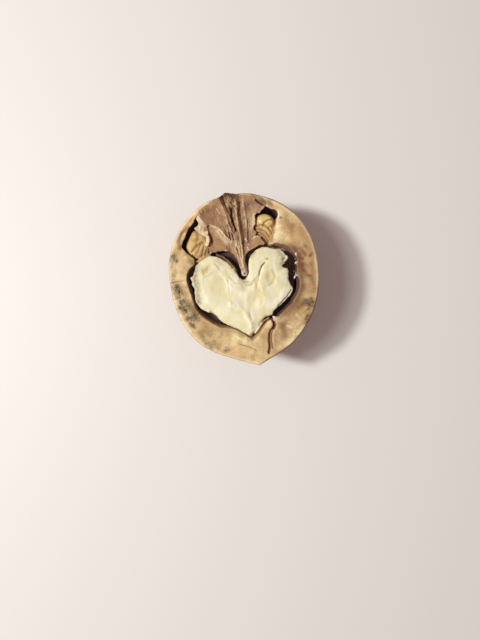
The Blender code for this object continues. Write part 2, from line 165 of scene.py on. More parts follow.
FAN_LIFTS = (
    (0.8, -0.7), (2.0, -0.6), (4.0, -0.55), (6.0, -0.45), (8.0, -0.3), (10.5, -0.1), (14.0, 0.05),
    (17.0, 0.25), (19.0, 0.4), (20.2, 0.5), (21.2, 0.2),
)
FIBRE_SOURCE = (0.2, -4.0)


def smooth_step(low, high, value):
    t = np.clip((value - low) / (high - low), 0, 1)
    return t * t * (3 - 2 * t)


def smooth_max(one, other, width):
    """The larger of two fields, rounded over the width where they meet."""
    near = np.maximum(width - np.abs(one - other), 0) / width
    return np.maximum(one, other) + near * near * width / 4


def smooth_min(one, other, width):
    return -smooth_max(-one, -other, width)


def cubic(before, start, end, after, t):
    """Catmull-Rom curve from start to end."""
    bend = 2 * before - 5 * start + 4 * end - after + t * (3 * (start - end) + after - before)
    return start + 0.5 * t * (end - before + t * bend)


def smooth_loop(points, steps):
    """A smooth closed line through the points."""
    corners = np.array(points, dtype=float)
    near = [np.roll(corners, -k, axis=0)[:, None] for k in (-1, 0, 1, 2)]
    share = (np.arange(steps) / steps)[None, :, None]
    return cubic(*near, share).reshape(-1, 2)


def noise_at(points, size, offset=(0.0, 0.0, 0.0)):
    """Smooth noise at each point, whose lumps are about size apart."""
    places = (points / size + np.array(offset)).tolist()
    return np.fromiter(map(noise.noise, places), float, len(places))


def noise_on(x, y, size, layer):
    """The same noise over a flat grid of places."""
    points = np.stack([x.ravel(), y.ravel(), np.full(x.size, layer)], axis=1)
    return noise_at(points, size).reshape(x.shape)


def ripples(x, y, waves):
    """Sum of noises over a flat grid: each has a height, a size and a layer of its own."""
    return sum(height * noise_on(x, y, size, layer) for height, size, layer in waves)


def bell(distance, width):
    """1 in the middle, falling smoothly to nothing past the width."""
    return np.exp(-((distance / width) ** 2))


def off_segment(x, y, start, end):
    """How far each place lies from a straight piece of line, along X and along Y."""
    (ax, ay), (bx, by) = start, end
    dx, dy = bx - ax, by - ay
    share = np.clip(((x - ax) * dx + (y - ay) * dy) / max(dx * dx + dy * dy, 1e-9), 0, 1)
    return x - ax - share * dx, y - ay - share * dy


def line_distance(x, y, points):
    """Distance in the plane to an open line through the points, or to a single point."""
    nearest = np.full(np.shape(x), np.inf)
    for start, end in zip(points, points[1:] or points):
        off_x, off_y = off_segment(x, y, start, end)
        nearest = np.minimum(nearest, off_x**2 + off_y**2)
    return np.sqrt(nearest)


def loop_distance(x, y, line):
    """Distance in the plane to a closed line, negative inside it."""
    inside = np.zeros(np.shape(x), dtype=bool)
    nearest = np.full(np.shape(x), np.inf)
    for start, end in zip(line, np.roll(line, -1, axis=0)):
        off_x, off_y = off_segment(x, y, start, end)
        nearest = np.minimum(nearest, off_x**2 + off_y**2)
        (ax, ay), (bx, by) = start, end
        if ay != by:
            inside ^= ((ay > y) != (by > y)) & (x < ax + (bx - ax) * (y - ay) / (by - ay))
    return np.where(inside, -1, 1) * np.sqrt(nearest)


def relief(x, y, strokes):
    """Height from soft strokes: each is a line of points, a half width and a height."""
    total = np.zeros(np.shape(x))
    for points, width, height in strokes:
        total += height * bell(line_distance(x, y, points), width)
    return total


def paint(x, y, strokes):
    """Strength of paint from soft strokes, where the strongest one counts."""
    strongest = np.zeros(np.shape(x))
    for points, width, strength in strokes:
        strongest = np.maximum(strongest, strength * bell(line_distance(x, y, points), width))
    return strongest


class Grid:
    """Points of a box, closer together along Z above a height."""

    def __init__(self, low, high, step, fine_above, fine_step, coarse_step):
        self.axes = [np.arange(low[k], high[k] + step, step) for k in (0, 1)]
        below = np.arange(low[2], fine_above, coarse_step)
        above = np.arange(fine_above, high[2] + fine_step, fine_step)
        self.axes.append(np.concatenate([below, above]))
        self.x, self.y = np.meshgrid(self.axes[0], self.axes[1], indexing="ij")
        self.z = self.axes[2][None, None, :]


CORNERS = [(i, j, k) for i in (0, 1) for j in (0, 1) for k in (0, 1)]
EDGES = [
    (a, b) for a in range(8) for b in range(a + 1, 8)
    if np.abs(np.subtract(CORNERS[a], CORNERS[b])).sum() == 1
]


def skin(field, grid):
    """Points and quads of the closed surface where the field is zero."""
    solid = field < 0
    filled = np.zeros([n - 1 for n in field.shape], dtype=np.int8)
    for i, j, k in CORNERS:
        filled += solid[i:i + filled.shape[0], j:j + filled.shape[1], k:k + filled.shape[2]]
    cells = np.argwhere((filled > 0) & (filled < 8))
    number = np.full(filled.shape, -1, dtype=np.int64)
    number[tuple(cells.T)] = np.arange(len(cells))
    values = [field[cells[:, 0] + i, cells[:, 1] + j, cells[:, 2] + k] for i, j, k in CORNERS]
    total = np.zeros((len(cells), 3))
    hits = np.zeros(len(cells))
    for a, b in EDGES:
        crossed = (values[a] < 0) != (values[b] < 0)
        share = np.where(crossed, values[a] / np.where(crossed, values[a] - values[b], 1), 0)
        spot = np.array(CORNERS[a]) + np.subtract(CORNERS[b], CORNERS[a]) * share[:, None]
        total += np.where(crossed[:, None], spot, 0)
        hits += crossed
    inner = total / hits[:, None]
    points = np.empty((len(cells), 3))
    for k, axis in enumerate(grid.axes):
        low = axis[cells[:, k]]
        points[:, k] = low + (axis[cells[:, k] + 1] - low) * inner[:, k]
    quads = []
    for k in range(3):
        below = np.take(solid, range(field.shape[k] - 1), axis=k)
        above = np.take(solid, range(1, field.shape[k]), axis=k)
        spots = np.argwhere(below != above)
        faces_up = below[tuple(spots.T)]
        step_u, step_v = np.eye(3, dtype=int)[(k + 1) % 3], np.eye(3, dtype=int)[(k + 2) % 3]
        around = [spots - step_u - step_v, spots - step_v, spots, spots - step_u]
        ring = np.stack([number[tuple(cell.T)] for cell in around], axis=1)
        ring[~faces_up] = ring[~faces_up][:, ::-1]
        quads.append(ring)
    return points, np.concatenate(quads)


def normals_of(points, quads):
    """Outward unit normal at each point."""
    flat = np.cross(points[quads[:, 2]] - points[quads[:, 0]], points[quads[:, 3]] - points[quads[:, 1]])
    normals = np.zeros_like(points)
    for k in range(3):
        for corner in range(4):
            normals[:, k] += np.bincount(quads[:, corner], flat[:, k], len(points))
    return normals / np.maximum(np.linalg.norm(normals, axis=1), 1e-12)[:, None]


def rim_radius(angle):
    """Radius of the shell's outline at an angle from +X."""
    count = len(RIM_RADII)
    radii = np.array(RIM_RADII)
    place = angle / math.tau * count
    first = np.floor(place).astype(int)
    near = [radii[(first + k) % count] for k in (-1, 0, 1, 2)]
    off_tip = (angle + 1.5 * math.pi) % math.tau - math.pi
    return cubic(*near, place - first) + TIP_REACH * np.exp(-np.abs(off_tip) / TIP_WIDTH)


def make_piece(name, points, quads, paints, material, node):
    """A closed mesh with its painted strengths, attached to the root body, which replaces a node and hides
    it.
    """
    mesh = bpy.data.meshes.new(name)
    mesh.vertices.add(len(points))
    mesh.vertices.foreach_set("co", ((points - SOLID_ORIGIN) * MM).astype(np.float32).ravel())
    mesh.loops.add(quads.size)
    mesh.loops.foreach_set("vertex_index", quads.astype(np.int32).ravel())
    mesh.polygons.add(len(quads))
    mesh.polygons.foreach_set("loop_start", np.arange(0, quads.size, 4, dtype=np.int32))
    mesh.update(calc_edges=True)
    mesh.validate()
    mesh.shade_smooth()
    for paint_name, strengths in paints.items():
        layer = mesh.attributes.new(paint_name, "FLOAT", "POINT")
        layer.data.foreach_set("value", strengths.astype(np.float32))
    mesh.materials.append(material)
    piece = bpy.data.objects.new(name, mesh)
    bpy.context.scene.collection.objects.link(piece)
    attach(piece, "root")
    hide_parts(node)
    return piece


def dome_field(reach, depth, radius, height):
    """Distance outside a round-backed bowl, measured towards the middle of its mouth."""
    depth = np.maximum(depth, 0)
    power = 2 / FULLNESS
    out = np.maximum((np.power(reach / radius, power) + np.power(depth / height, power)) ** (1 / power), 0.01)
    return np.hypot(reach, depth) * (1 - 1 / out)


def ceiling(share):
    """Height of the woody plate's underside, by the share of the way out to the wall."""
    return CEILING_HEIGHT - CEILING_FALL * np.minimum(share, CEILING_REACH) ** 2


# Lines of the split face that are both cut and painted
SECOND_CRACK = ((4.4, -13.5), (4.0, -14.3), (3.75, -15.9), (3.8, -17.7))
TIP_HAIRLINE = ((-3.8, -15.4), (-1.8, -16.3), (-0.1, -17.5))
LEFT_HAIRLINE = ((-17.6, 2.15), (-15.5, 2.0), (-13.9, 2.0))
RIGHT_HAIRLINE = ((14.0, 2.9), (14.4, 2.5), (15.0, 2.3))
RIM_SLIT = ((5.9, 18.2), (6.6, 17.3), (7.3, 16.7))
WORN_RING = ((8.3, -12.9), (9.5, -13.7), (11.0, -12.9), (11.5, -11.6), (10.8, -10.7))

# Relief of the split face: a line of points, half width, height
RIM_RELIEF = (
    (((13.6, 4.6), (14.0, 2.4), (14.0, 0), (13.9, -2.6), (13.4, -5), (12.2, -7.2)), 0.9, -0.35),
    (((-14.0, 9.6), (-14.1, 11.4), (-13.2, 13.1), (-11.4, 14.9), (-9.6, 16.4)), 0.2, -0.16),
    (((-16.8, 8.2), (-15.6, 7.6)), 1.0, -0.12),
    (((5.9, -11.2), (6.0, -12.6), (5.2, -13.6), (4.5, -14.8), (4.1, -17.0)), 0.4, 0.12),
    (((4.0, -11.8), (3.4, -13.2), (2.4, -14.8), (2.3, -16.8)), 0.9, -0.14), (SECOND_CRACK, 0.16, -0.28),
    (CRACK, 0.22, -0.7), (CRACK[:4], 0.3, -0.4), (((-2.4, 20.4), (-0.6, 21.0), (1.4, 20.4)), 0.9, -0.45),
    (TIP_HAIRLINE, 0.18, -0.14), (LEFT_HAIRLINE, 0.18, -0.12), (RIGHT_HAIRLINE, 0.18, -0.14),
    (WORN_RING, 0.25, 0.08), (((8.6, -12.0), (9.6, -12.6), (10.4, -12.0)), 0.25, 0.07),
    (((10.4, 8.2), (11.6, 11.0), (11.4, 14.2)), 1.6, 0.12),
    (((8.0, 7.9), (8.4, 8.8), (9.0, 10.0), (9.6, 11.0)), 0.5, -0.35), (RIM_SLIT, 0.2, -0.6),
    (((-12.6, 8.1), (-11.6, 7.0), (-11.3, 5.9)), 0.3, -0.2),
)

# How far the opening's wall leans inwards for each mm of depth: near a line of points, half width, lean
WALL_LEAN = 0.14
WALL_LEANS = (
    (((7.4, 7.6), (10.0, 7.2), (12.6, 5.4)), 1.6, 0.42),
    (((-13.6, 0.4), (-13.4, -3.0), (-12.6, -5.8)), 1.4, 0.22),
    (((-11.6, -7.8), (-9.6, -9.8), (-5.8, -11.4), (-2.0, -14.0)), 1.5, 0.5),
    (((-0.5, -15.0), (1.2, -13.9), (2.6, -12.6), (4.2, -11.5)), 0.9, 0.75),
    (((13.4, -1.8), (13.0, -4.6), (10.8, -7.8), (7.2, -10.4)), 1.4, 0.46),
    (((-13.9, 9.6), (-13.0, 11.8), (-11.2, 14.3), (-9.2, 16.4)), 1.3, -0.6),
    (((10.4, 14.6), (8.6, 16.4)), 1.0, -0.4),
)

# Pale shreds on the opening's right wall and at the mouth of the crack: a line of points, height, half width
FLECKS = (
    (((12.1, -0.2), (12.4, -0.9), (12.0, -1.7)), 16.1, 0.13), (((12.05, -1.7), (11.9, -1.9)), 16.1, 0.22),
    (((12.5, -1.3), (12.4, -1.6)), 16.2, 0.14), (((12.7, 1.5), (12.9, 1.8)), 16.5, 0.2),
    (((12.8, 2.5), (12.8, 2.7)), 16.6, 0.12), (((13.1, 3.5), (13.3, 3.7)), 16.8, 0.17),
    (((5.2, -10.2), (5.8, -10.5)), 16.3, 0.26), (((5.4, -10.6), (5.3, -11.0)), 16.4, 0.17),
)

# Noises of the split face: height, size, layer
EDGE_BREAKS = ((0.12, 0.8, 0.0), (0.1, 2.2, 3.0))
RIM_SWELLS = ((0.12, 5.0, 1.0), (0.05, 1.3, 2.0))
OUTLINE_BREAKS = ((0.07, 1.5, 7.0),)
FLECK_BREAKS = ((0.07, 0.35, 6.0),)

# How far the split face lies below the rim's height, how far the opening's wall reaches down past the
# cavity's mouth, and the roundings where surfaces meet
RIM_DROP = 0.05
OPENING_REACH = 1.0
RIM_ROUND = 0.5
CAVITY_ROUND = 0.6
PLATE_ROUND = 0.4
WALL_ROUND = 0.25
FLECK_ROUND = 0.12


def opening_distance(x, y):
    """Distance to the rim's inner edge, with its small breaks."""
    return loop_distance(x, y, smooth_loop(OPENING, 5)) + ripples(x, y, EDGE_BREAKS)


def rim_top(x, y):
    """Height of the split face."""
    return RIM_HEIGHT - RIM_DROP + ripples(x, y, RIM_SWELLS) + relief(x, y, RIM_RELIEF)


def shell_field(grid):
    x, y, z = grid.x, grid.y, grid.z
    reach = np.hypot(x, y)[..., None]
    radius = (rim_radius(np.arctan2(y, x)) + ripples(x, y, OUTLINE_BREAKS))[..., None]
    back = dome_field(reach, RIM_HEIGHT - z, radius, RIM_HEIGHT + REST_SINK)
    field = smooth_max(back, z - rim_top(x, y)[..., None], RIM_ROUND)
    field = np.maximum(field, -z)
    inner = radius - WALL
    bowl = dome_field(reach, CAVITY_HEIGHT - z, inner, CAVITY_HEIGHT - WALL)
    cavity = smooth_max(bowl, z - ceiling(reach / inner), CAVITY_ROUND)
    lean = WALL_LEAN + relief(x, y, WALL_LEANS)
    hole = opening_distance(x, y)[..., None] + lean[..., None] * (RIM_HEIGHT - z)
    hole = np.maximum(hole, CAVITY_HEIGHT - OPENING_REACH - z)
    hole = np.maximum(hole, back + LEAST_WALL)
    hollow = smooth_min(cavity, hole, PLATE_ROUND)
    field = smooth_max(field, -hollow, WALL_ROUND)
    ragged = ripples(x, y, FLECK_BREAKS)
    for line, height, size in FLECKS:
        away = (line_distance(x, y, line) + ragged)[..., None]
        field = smooth_min(field, np.hypot(away, z - height) - size, FLECK_ROUND)
    return field


# Fine relief of the back: depth, size and offset of its noises, then its narrow wrinkles
FINE_NOISES = ((0.1, 1.1, (3, 1, 0)), (0.05, 0.6, (0, 5, 0)))
WRINKLE_DEPTH = 0.18
WRINKLE_WIDTH = 0.12
WRINKLE_SIZE = 1.5
WRINKLE_STRETCH = (1, 0.45, 1)
WRINKLE_OFFSET = (0, 0, 9)


def furrow(points):
    """Depth of the back's relief below a smooth bowl, and how deep in a furrow each point lies."""
    bend = noise_at(points, FURROW_BEND_SIZE) * FURROW_BEND
    along = points / FURROW_SPACING + np.stack([bend, 0 * bend, -bend], axis=1)
    groove = bell(noise_at(along, 1.0), FURROW_WIDTH)
    swell = SWELL_SHARE * noise_at(points, SWELL_SIZE, SWELL_OFFSET)
    height = points[:, 2]
    below = RIM_HEIGHT - height
    fade = smooth_step(0.0, RIM_BAND, below) * smooth_step(0.0, FOOT_BAND, height)
    seam = SEAM_STEP * smooth_step(SEAM_BAND, 2 * SEAM_BAND, below) * smooth_step(0.0, SEAM_FADE, height)
    fine = sum(deep * noise_at(points, size, offset) for deep, size, offset in FINE_NOISES)
    creases = noise_at(points * WRINKLE_STRETCH, WRINKLE_SIZE, WRINKLE_OFFSET)
    wrinkle = WRINKLE_DEPTH * bell(creases, WRINKLE_WIDTH)
    depth = FURROW_DEPTH * fade * (groove + swell) + seam + fade * (fine + wrinkle)
    return smooth_min(depth, np.full(len(points), DEEPEST), DEEPEST_ROUND), fade * (groove + wrinkle)


# Paint on the split face and the opening's wall: a line of points, half width, strength
MOULD = (
    (((-16.3, 0.8), (-15.9, -1.0)), 0.9, 0.85), (((-17.2, 1.2), (-16.6, -1.8)), 0.8, 0.5),
    (((-15.6, -3.0), (-14.5, -4.4)), 0.9, 1.0), (((-16.1, -4.2), (-14.0, -6.3)), 0.95, 0.8),
    (((-14.9, -7.0), (-13.4, -7.4)), 0.75, 0.8), (((-13.5, -6.0), (-12.8, -7.4)), 0.8, 0.85),
    (((-14.6, -8.4), (-13.8, -9.4)), 0.5, 0.7), (((-12.9, -11.0), (-12.0, -12.6)), 0.6, 0.5),
    (((-9.8, -14.0), (-9.2, -15.0)), 0.8, 0.4), (((-7.4, -16.1), (-6.7, -16.3)), 0.6, 0.55),
    (((-11.6, -13.8), (-10.6, -14.9)), 0.7, 0.45), (((-15.9, 8.2), (-15.4, 7.2)), 0.7, 0.9),
    (((-16.9, 8.0), (-16.6, 7.0)), 0.5, 0.5), (((-17.0, 3.0), (-16.7, 3.8)), 0.5, 0.45),
    (((-12.9, -4.2), (-12.8, -5.0)), 0.4, 0.5), (((-16.9, 5.6), (-16.4, 6.6)), 0.5, 0.25),
    (((13.5, -7.9), (14.2, -8.8)), 0.7, 1.0), (((14.9, -7.8), (15.4, -9.0)), 0.6, 1.0),
    (((14.6, -9.2), (13.4, -10.4)), 0.55, 0.65), (((16.5, 2.8), (16.9, 3.1)), 0.4, 0.9),
    (((11.1, 12.9),), 0.25, 0.9), (((16.3, -5.2),), 0.35, 0.7), (((12.6, -12.9), (13.8, -11.0)), 0.5, 0.9),
    (((15.6, 5.4), (16.2, 4.4)), 0.4, 0.45), (((15.9, -3.0), (16.2, -4.4)), 0.5, 0.4),
)
STAIN = (
    (((13.6, 4.8), (14.2, 2.6), (14.4, 0), (14.2, -1.6)), 1.1, 1.0),
    (((14.2, -2.6), (13.7, -5), (12.2, -7.4)), 0.9, 0.62),
    (((-2.4, 20.3), (-0.4, 20.9), (1.6, 20.3)), 0.8, 1.0), (((14.0, -1.4), (15.9, -2.2)), 0.5, 0.9),
    (((13.4, -8.0), (11.4, -8.9)), 0.8, 0.8), (((13.2, 5.3), (14.6, 4.6), (15.3, 3.0)), 0.6, 0.9),
    (((7.2, -12.6), (7.0, -15.2)), 1.1, 0.7), (((5.4, -14.2), (6.4, -15.6)), 0.8, 0.6),
    (((12.6, 12.6), (13.4, 10.2)), 1.2, 0.5), (((-14.6, -0.2), (-14.5, -1.6)), 0.7, 0.4),
    (((-14.3, -3.2), (-13.4, -5.4), (-12.6, -7.4)), 0.9, 0.55), (((-14.0, 5.0), (-13.4, 3.4)), 0.9, 0.4),
    (((-11.6, -9.4), (-10.2, -10.6)), 1.1, 0.5), (((-9.0, -12.0), (-6.4, -12.6)), 1.2, 0.35),
    (((-7.4, 18.0), (-5.0, 19.2), (-3.0, 19.8)), 0.7, 0.8),
    (((5.4, 19.0), (7.6, 17.9), (9.4, 16.6)), 0.7, 0.8), (((-12.6, 6.6), (-11.6, 5.8)), 0.6, 0.6),
    (((-4.4, -12.2), (-2.6, -13.6)), 0.5, 0.5),
    (((-13.9, 9.6), (-13.9, 11.6), (-13.0, 13.4), (-11.2, 14.6)), 0.35, 0.8),
    (((-11.9, -10.6), (-10.6, -11.8)), 0.9, 0.5), (((12.2, -7.4), (10.4, -9.0), (8.6, -10.3)), 0.8, 0.6),
    (((-8.6, -11.0), (-5.0, -12.0), (-2.6, -13.4)), 0.5, 0.4), (((16.4, 0.8), (16.0, -3.0)), 0.6, 0.5),
    (((8.0, 8.0), (9.2, 10.4)), 0.4, 0.5),
)
PALE = (
    (((-15.4, 6.0), (-15.0, 3.0)), 1.3, 0.5), (((9.6, 8.6), (10.2, 11.6), (10.9, 14.2)), 0.8, 0.9),
    (((-12.4, 15.4), (-9.4, 17.5), (-6.0, 19.4)), 0.5, 0.8), (((16.6, 11.0), (17.5, 7.0)), 0.3, 0.6),
    (((17.6, 2.0), (17.2, -3.0), (16.2, -7.0)), 0.25, 0.5), (WORN_RING, 0.3, 0.7),
    (((8.8, -12.2), (9.7, -12.7), (10.5, -12.0)), 0.25, 0.6),
    # a painted highlight on the raised lip beside the second crack
    (((4.5, -14.2), (4.2, -17.0), (3.6, -18.2)), 0.2, 0.35),
    (((-17.4, 1.2), (-17.3, -2.0), (-16.6, -6.0), (-15.0, -10.2)), 0.4, 0.8),
    (((10.0, 17.0), (13.4, 14.2)), 0.5, 0.7), (((-17.0, -1.2), (-15.6, 1.6)), 0.35, 0.5),
    (((-1.0, -20.6), (0.4, -20.4)), 0.7, 0.6), (((6.8, 19.0), (8.6, 18.0)), 0.25, 0.7),
    (((11.6, -14.2), (9.8, -15.6), (7.6, -16.9), (5.2, -18.0)), 0.6, 0.55),
)
# Painted shade: dark lines that stand in for the shade inside the cracks, slits, hairlines and creases
CRACK_AND_CREASE_SHADE = (
    (LEFT_HAIRLINE, 0.1, 0.7), (TIP_HAIRLINE, 0.1, 0.7), (RIGHT_HAIRLINE, 0.12, 0.7), (RIM_SLIT, 0.16, 1.0),
    (((-13.9, 9.8), (-13.9, 11.4), (-13.1, 13.0), (-11.6, 14.0)), 0.16, 0.5), (CRACK, 0.13, 0.9),
    (((2.65, -18.4), (2.7, -18.8)), 0.22, 1.0), (SECOND_CRACK, 0.1, 0.8),
    (((13.1, 0.6), (13.6, 0.2)), 0.15, 0.5), (((8.0, 7.9), (8.5, 9.0), (9.1, 10.3)), 0.14, 0.5),
    (((-11.7, 7.5), (-11.3, 6.4)), 0.12, 0.5),
)
# Painted shade on the split face, mostly towards its right and lower right, away from the light
SHADY_SIDE = (
    (((15.4, 9.2), (17.0, 4.6), (16.8, 0.0), (15.8, -6.0)), 1.9, 1.0),
    (((15.6, -8.0), (13.0, -12.0)), 1.6, 0.8), (((12.2, -10.4), (10.4, -11.8)), 1.3, 0.9),
    (((3.2, -14.4), (4.8, -18.6)), 1.5, 0.85), (((-0.4, -15.8), (1.4, -17.4)), 1.4, 0.5),
    (((7.4, -12.8), (8.4, -14.2)), 1.1, 0.6), (((13.4, 8.6), (14.6, 7.0)), 1.5, 0.7),
    (((-5.2, -18.6), (-3.6, -18.8)), 1.0, 0.6), (((17.2, 4.8), (16.9, 3.6)), 0.7, 1.0),
    (((-11.8, -10.4), (-10.8, -11.4)), 1.0, 0.5), (((-15.9, 8.8), (-14.8, 10.8)), 1.3, 0.35),
    (((15.4, -9.6), (13.8, -12.2)), 1.3, 1.0), (((12.8, -8.4), (10.6, -10.4), (8.4, -11.8)), 1.3, 1.0),
    (((6.8, -12.8), (7.2, -14.8)), 1.2, 0.95),
)
CRACK_LIPS = ((CRACK, 0.32, 0.8), (CRACK[:4], 0.45, 0.9), (SECOND_CRACK, 0.24, 0.7))
TAN_WALL = (
    (((10.4, 13.0), (9.6, 11.0), (8.6, 9.2), (8.0, 7.8)), 0.8, 1.0),
    (((-0.5, -15.0), (1.4, -13.6), (2.6, -12.4), (4.2, -11.4)), 0.8, 0.65),
    (((-11.6, -7.6), (-9.4, -9.8), (-6.0, -11.2), (-3.0, -12.8)), 1.2, 0.35),
    (((7.6, 7.2), (10.0, 6.9), (12.4, 5.2)), 1.0, 0.4),
)

# Where painted shade shows as a thin dark line of the back outside the split face, on the sides away from the
# light: angles from +X in degrees
BACK_SHADE_LINES = ((40.0, 84.0), (-88.0, -14.0))
BACK_SHADE_FADE = 6.0

# The paint of the split face: its height, how far it faces up and how far it runs over the opening's
# edge, the mould's strength and the least of the rosy tone
RIM_PAINT_HEIGHTS = (15.6, 16.3)
RIM_PAINT_TILTS = (0.3, 0.75)
RIM_PAINT_EDGES = (-0.6, 0.1)
MOULD_STRENGTH = 1.35
LEAST_ROSY = 0.25

# How near the smooth bowl a point of the back lies, and the paint round a fleck
BACK_BAND = (0.35, 0.8)
FLECK_PAINT = (0.05, 0.2)


def make_shell(material):
    grid = Grid(
        low=(-19.0, -21.9, -0.7), high=(19.0, 21.3, 17.6), step=0.234,
        fine_above=13.6, fine_step=0.215, coarse_step=0.58,
    )
    points, quads = skin(shell_field(grid), grid)
    outward = points - np.array((0, 0, RIM_HEIGHT))
    inward = -outward / np.maximum(np.linalg.norm(outward, axis=1), 1e-6)[:, None]
    reach = np.hypot(points[:, 0], points[:, 1])
    radius = rim_radius(np.arctan2(points[:, 1], points[:, 0]))
    off_back = dome_field(reach, RIM_HEIGHT - points[:, 2], radius, RIM_HEIGHT + REST_SINK)
    back = 1 - smooth_step(*BACK_BAND, np.abs(off_back))
    depth, groove = furrow(points)
    points = points + inward * (depth * back)[:, None]
    points[:, 2] = np.maximum(points[:, 2], 0)
    x, y, z = points.T
    up = normals_of(points, quads)[:, 2]
    edge = loop_distance(x, y, smooth_loop(OPENING, 5))
    high = smooth_step(*RIM_PAINT_HEIGHTS, z)
    flecks = np.zeros(len(points))
    for line, height, size in FLECKS:
        away = np.hypot(line_distance(x, y, line), z - height)
        flecks = np.maximum(flecks, 1 - smooth_step(*FLECK_PAINT, away - size))
    angle = np.arctan2(y, x)
    turn = np.degrees(angle)
    sector = np.zeros(len(points))
    for start, end in BACK_SHADE_LINES:
        begun = smooth_step(start - BACK_SHADE_FADE, start + BACK_SHADE_FADE, turn)
        sector = np.maximum(sector, begun * smooth_step(end + BACK_SHADE_FADE, end - BACK_SHADE_FADE, turn))
    reach = np.hypot(x, y)
    off_edge = radius - reach
    paints = {
        "rim": smooth_step(*RIM_PAINT_TILTS, up) * high * smooth_step(*RIM_PAINT_EDGES, edge),
        "back": back * (1 - smooth_step(0.4, 0.8, up) * high),
        "groove": groove,
        "mould": np.minimum(MOULD_STRENGTH * paint(x, y, MOULD), 1),
        "stain": paint(x, y, STAIN),
        "pale": paint(x, y, PALE),
        "dark": paint(x, y, CRACK_AND_CREASE_SHADE),
        "lip": paint(x, y, CRACK_LIPS),
        "rosy": np.maximum(smooth_step(-3.0, 8.0, y + 0.6 * x), LEAST_ROSY),
        "turn": angle,
        "reach": reach,
        "fleck": flecks,
        "edge": bell(off_edge - 0.35, 0.3) * (1 - sector),
        "back_shade_line": smooth_step(0.42, 0.16, off_edge) * sector,
        # painted light: deep down, the opening's wall is painted lighter, standing in for light bounced into
        # the hollow
        "deep": smooth_step(15.8, 13.6, z),
        "shady_edge": bell(edge - 0.2, 0.75) * smooth_step(5.0, 8.0, x) * smooth_step(7.4, 5.4, y),
        # painted shade: the opening's wall is painted darker towards the right, where the light falls on it,
        # and stays lighter on the shaded left
        "painted_wall_shade": smooth_step(-4.0, 6.0, x),
        "tan_wall": paint(x, y, TAN_WALL),
        "painted_side_shade": paint(x, y, SHADY_SIDE),
    }
    return make_piece("walnut_shell", points, quads, paints, material, "shell")


# Lines of the broken face that are both cut and painted
MIDDLE_SPLIT = ((2.8, -0.9), (2.6, -2.6))
LOWER_SPLIT = ((-0.3, -8.3), (0.1, -10.1))
LIFTED_EDGE = ((10.7, -4.5), (9.6, -5.8), (8.3, -6.8), (6.9, -7.8))
RIGHT_NICK = ((10.0, 2.9), (10.6, 3.3))

# Relief of the kernel's broken face: a line of points, half width, height
FLESH_RELIEF = (
    (((-4.05, 0.2), (-4.0, -1.4), (-4.05, -2.8), (-4.35, -4.6)), 0.2, -0.16),
    (((-4.3, -5.15),), 0.35, 0.25),
    (((5.5, 3.0), (4.6, 2.2), (4.0, 1.2), (3.6, 0.2), (3.2, -0.8)), 0.2, -0.5), (((6.4, 3.6),), 0.35, -0.4),
    (((5.9, -0.1), (5.8, -1.3)), 1.0, -0.26), (MIDDLE_SPLIT, 0.22, -0.2), (LOWER_SPLIT, 0.22, -0.13),
    (((-9.4, 3.1), (-8.5, 3.6), (-7.8, 4.1)), 0.6, -0.22), (((-8.6, 3.2), (-8.3, 4.2)), 0.15, -0.12),
    (((-2.3, 3.2),), 0.25, -0.25), (((0.0, -0.9), (0.0, -2.0)), 1.2, -0.35),
    (((-11.2, 3.8), (-11.8, 0.4), (-11.4, -3.2)), 0.8, -0.35),
    (((0.0, -4.0), (-0.8, -8.0), (-0.8, -12.0)), 0.6, 0.14), (((2.0, -5.4), (1.4, -9.4)), 0.9, -0.16),
    (((-2.6, -5.6), (-1.2, -9.0)), 0.5, 0.12), (((8.6, 3.2), (9.2, 0.0), (8.6, -4.0)), 1.2, 0.12),
    (((-6.4, 4.7), (-5.7, 4.1), (-5.4, 3.3)), 0.2, -0.15), (((4.2, -6.0), (7.4, -5.2)), 1.4, 0.14),
    (LIFTED_EDGE, 0.16, -0.3), (((9.6, 4.9), (10.2, 4.0)), 0.2, -0.12), (RIGHT_NICK, 0.2, -0.4),
    (((9.3, 2.0), (9.9, 1.9)), 0.18, -0.3),
)

# Broken steps of the face, whose left side stands higher as the line runs: points, height, reach
FLESH_STEPS = (
    (((-8.4, 2.4), (-7.0, 2.9), (-5.8, 2.4), (-4.8, 1.0), (-4.4, -0.6), (-4.3, -3.0), (-4.6, -4.8)),
     0.2, 1.5),
    (((-2.8, 0.8), (-1.5, -0.7), (-0.2, -1.5), (1.4, -1.5), (2.4, -0.6)), 0.3, 1.0),
    (((-2.6, -1.0), (-1.0, -2.0), (1.0, -2.0)), 0.18, 0.7),
    (((-3.6, -6.6), (-2.4, -7.5), (-1.5, -8.2), (-0.7, -9.4), (-0.6, -11.4)), 0.28, 1.0),
    (((3.4, -2.6), (3.0, -0.8), (3.8, 0.8), (4.8, 2.2), (6.0, 3.2)), -0.3, 1.2),
    (((7.6, 1.6), (7.7, -0.8), (7.0, -2.4), (5.6, -3.0)), 0.12, 0.9),
    (((2.9, -4.0), (3.9, -5.4), (3.2, -7.4)), 0.08, 1.0),
    (((-11.4, 1.4), (-10.4, -2.0), (-9.4, -4.6), (-6.8, -6.6)), 0.12, 1.2),
    (((-10.8, 4.4), (-10.0, 2.6), (-10.9, 0.4)), 0.2, 0.8),
    (((9.6, 4.6), (8.9, 2.8), (9.3, 1.0)), 0.12, 0.8), (((9.9, -1.4), (9.0, -3.6), (7.8, -5.6)), 0.06, 0.8),
    (((-3.4, 2.6), (-2.4, 1.6), (-1.6, 0.4)), 0.2, 0.6),
)

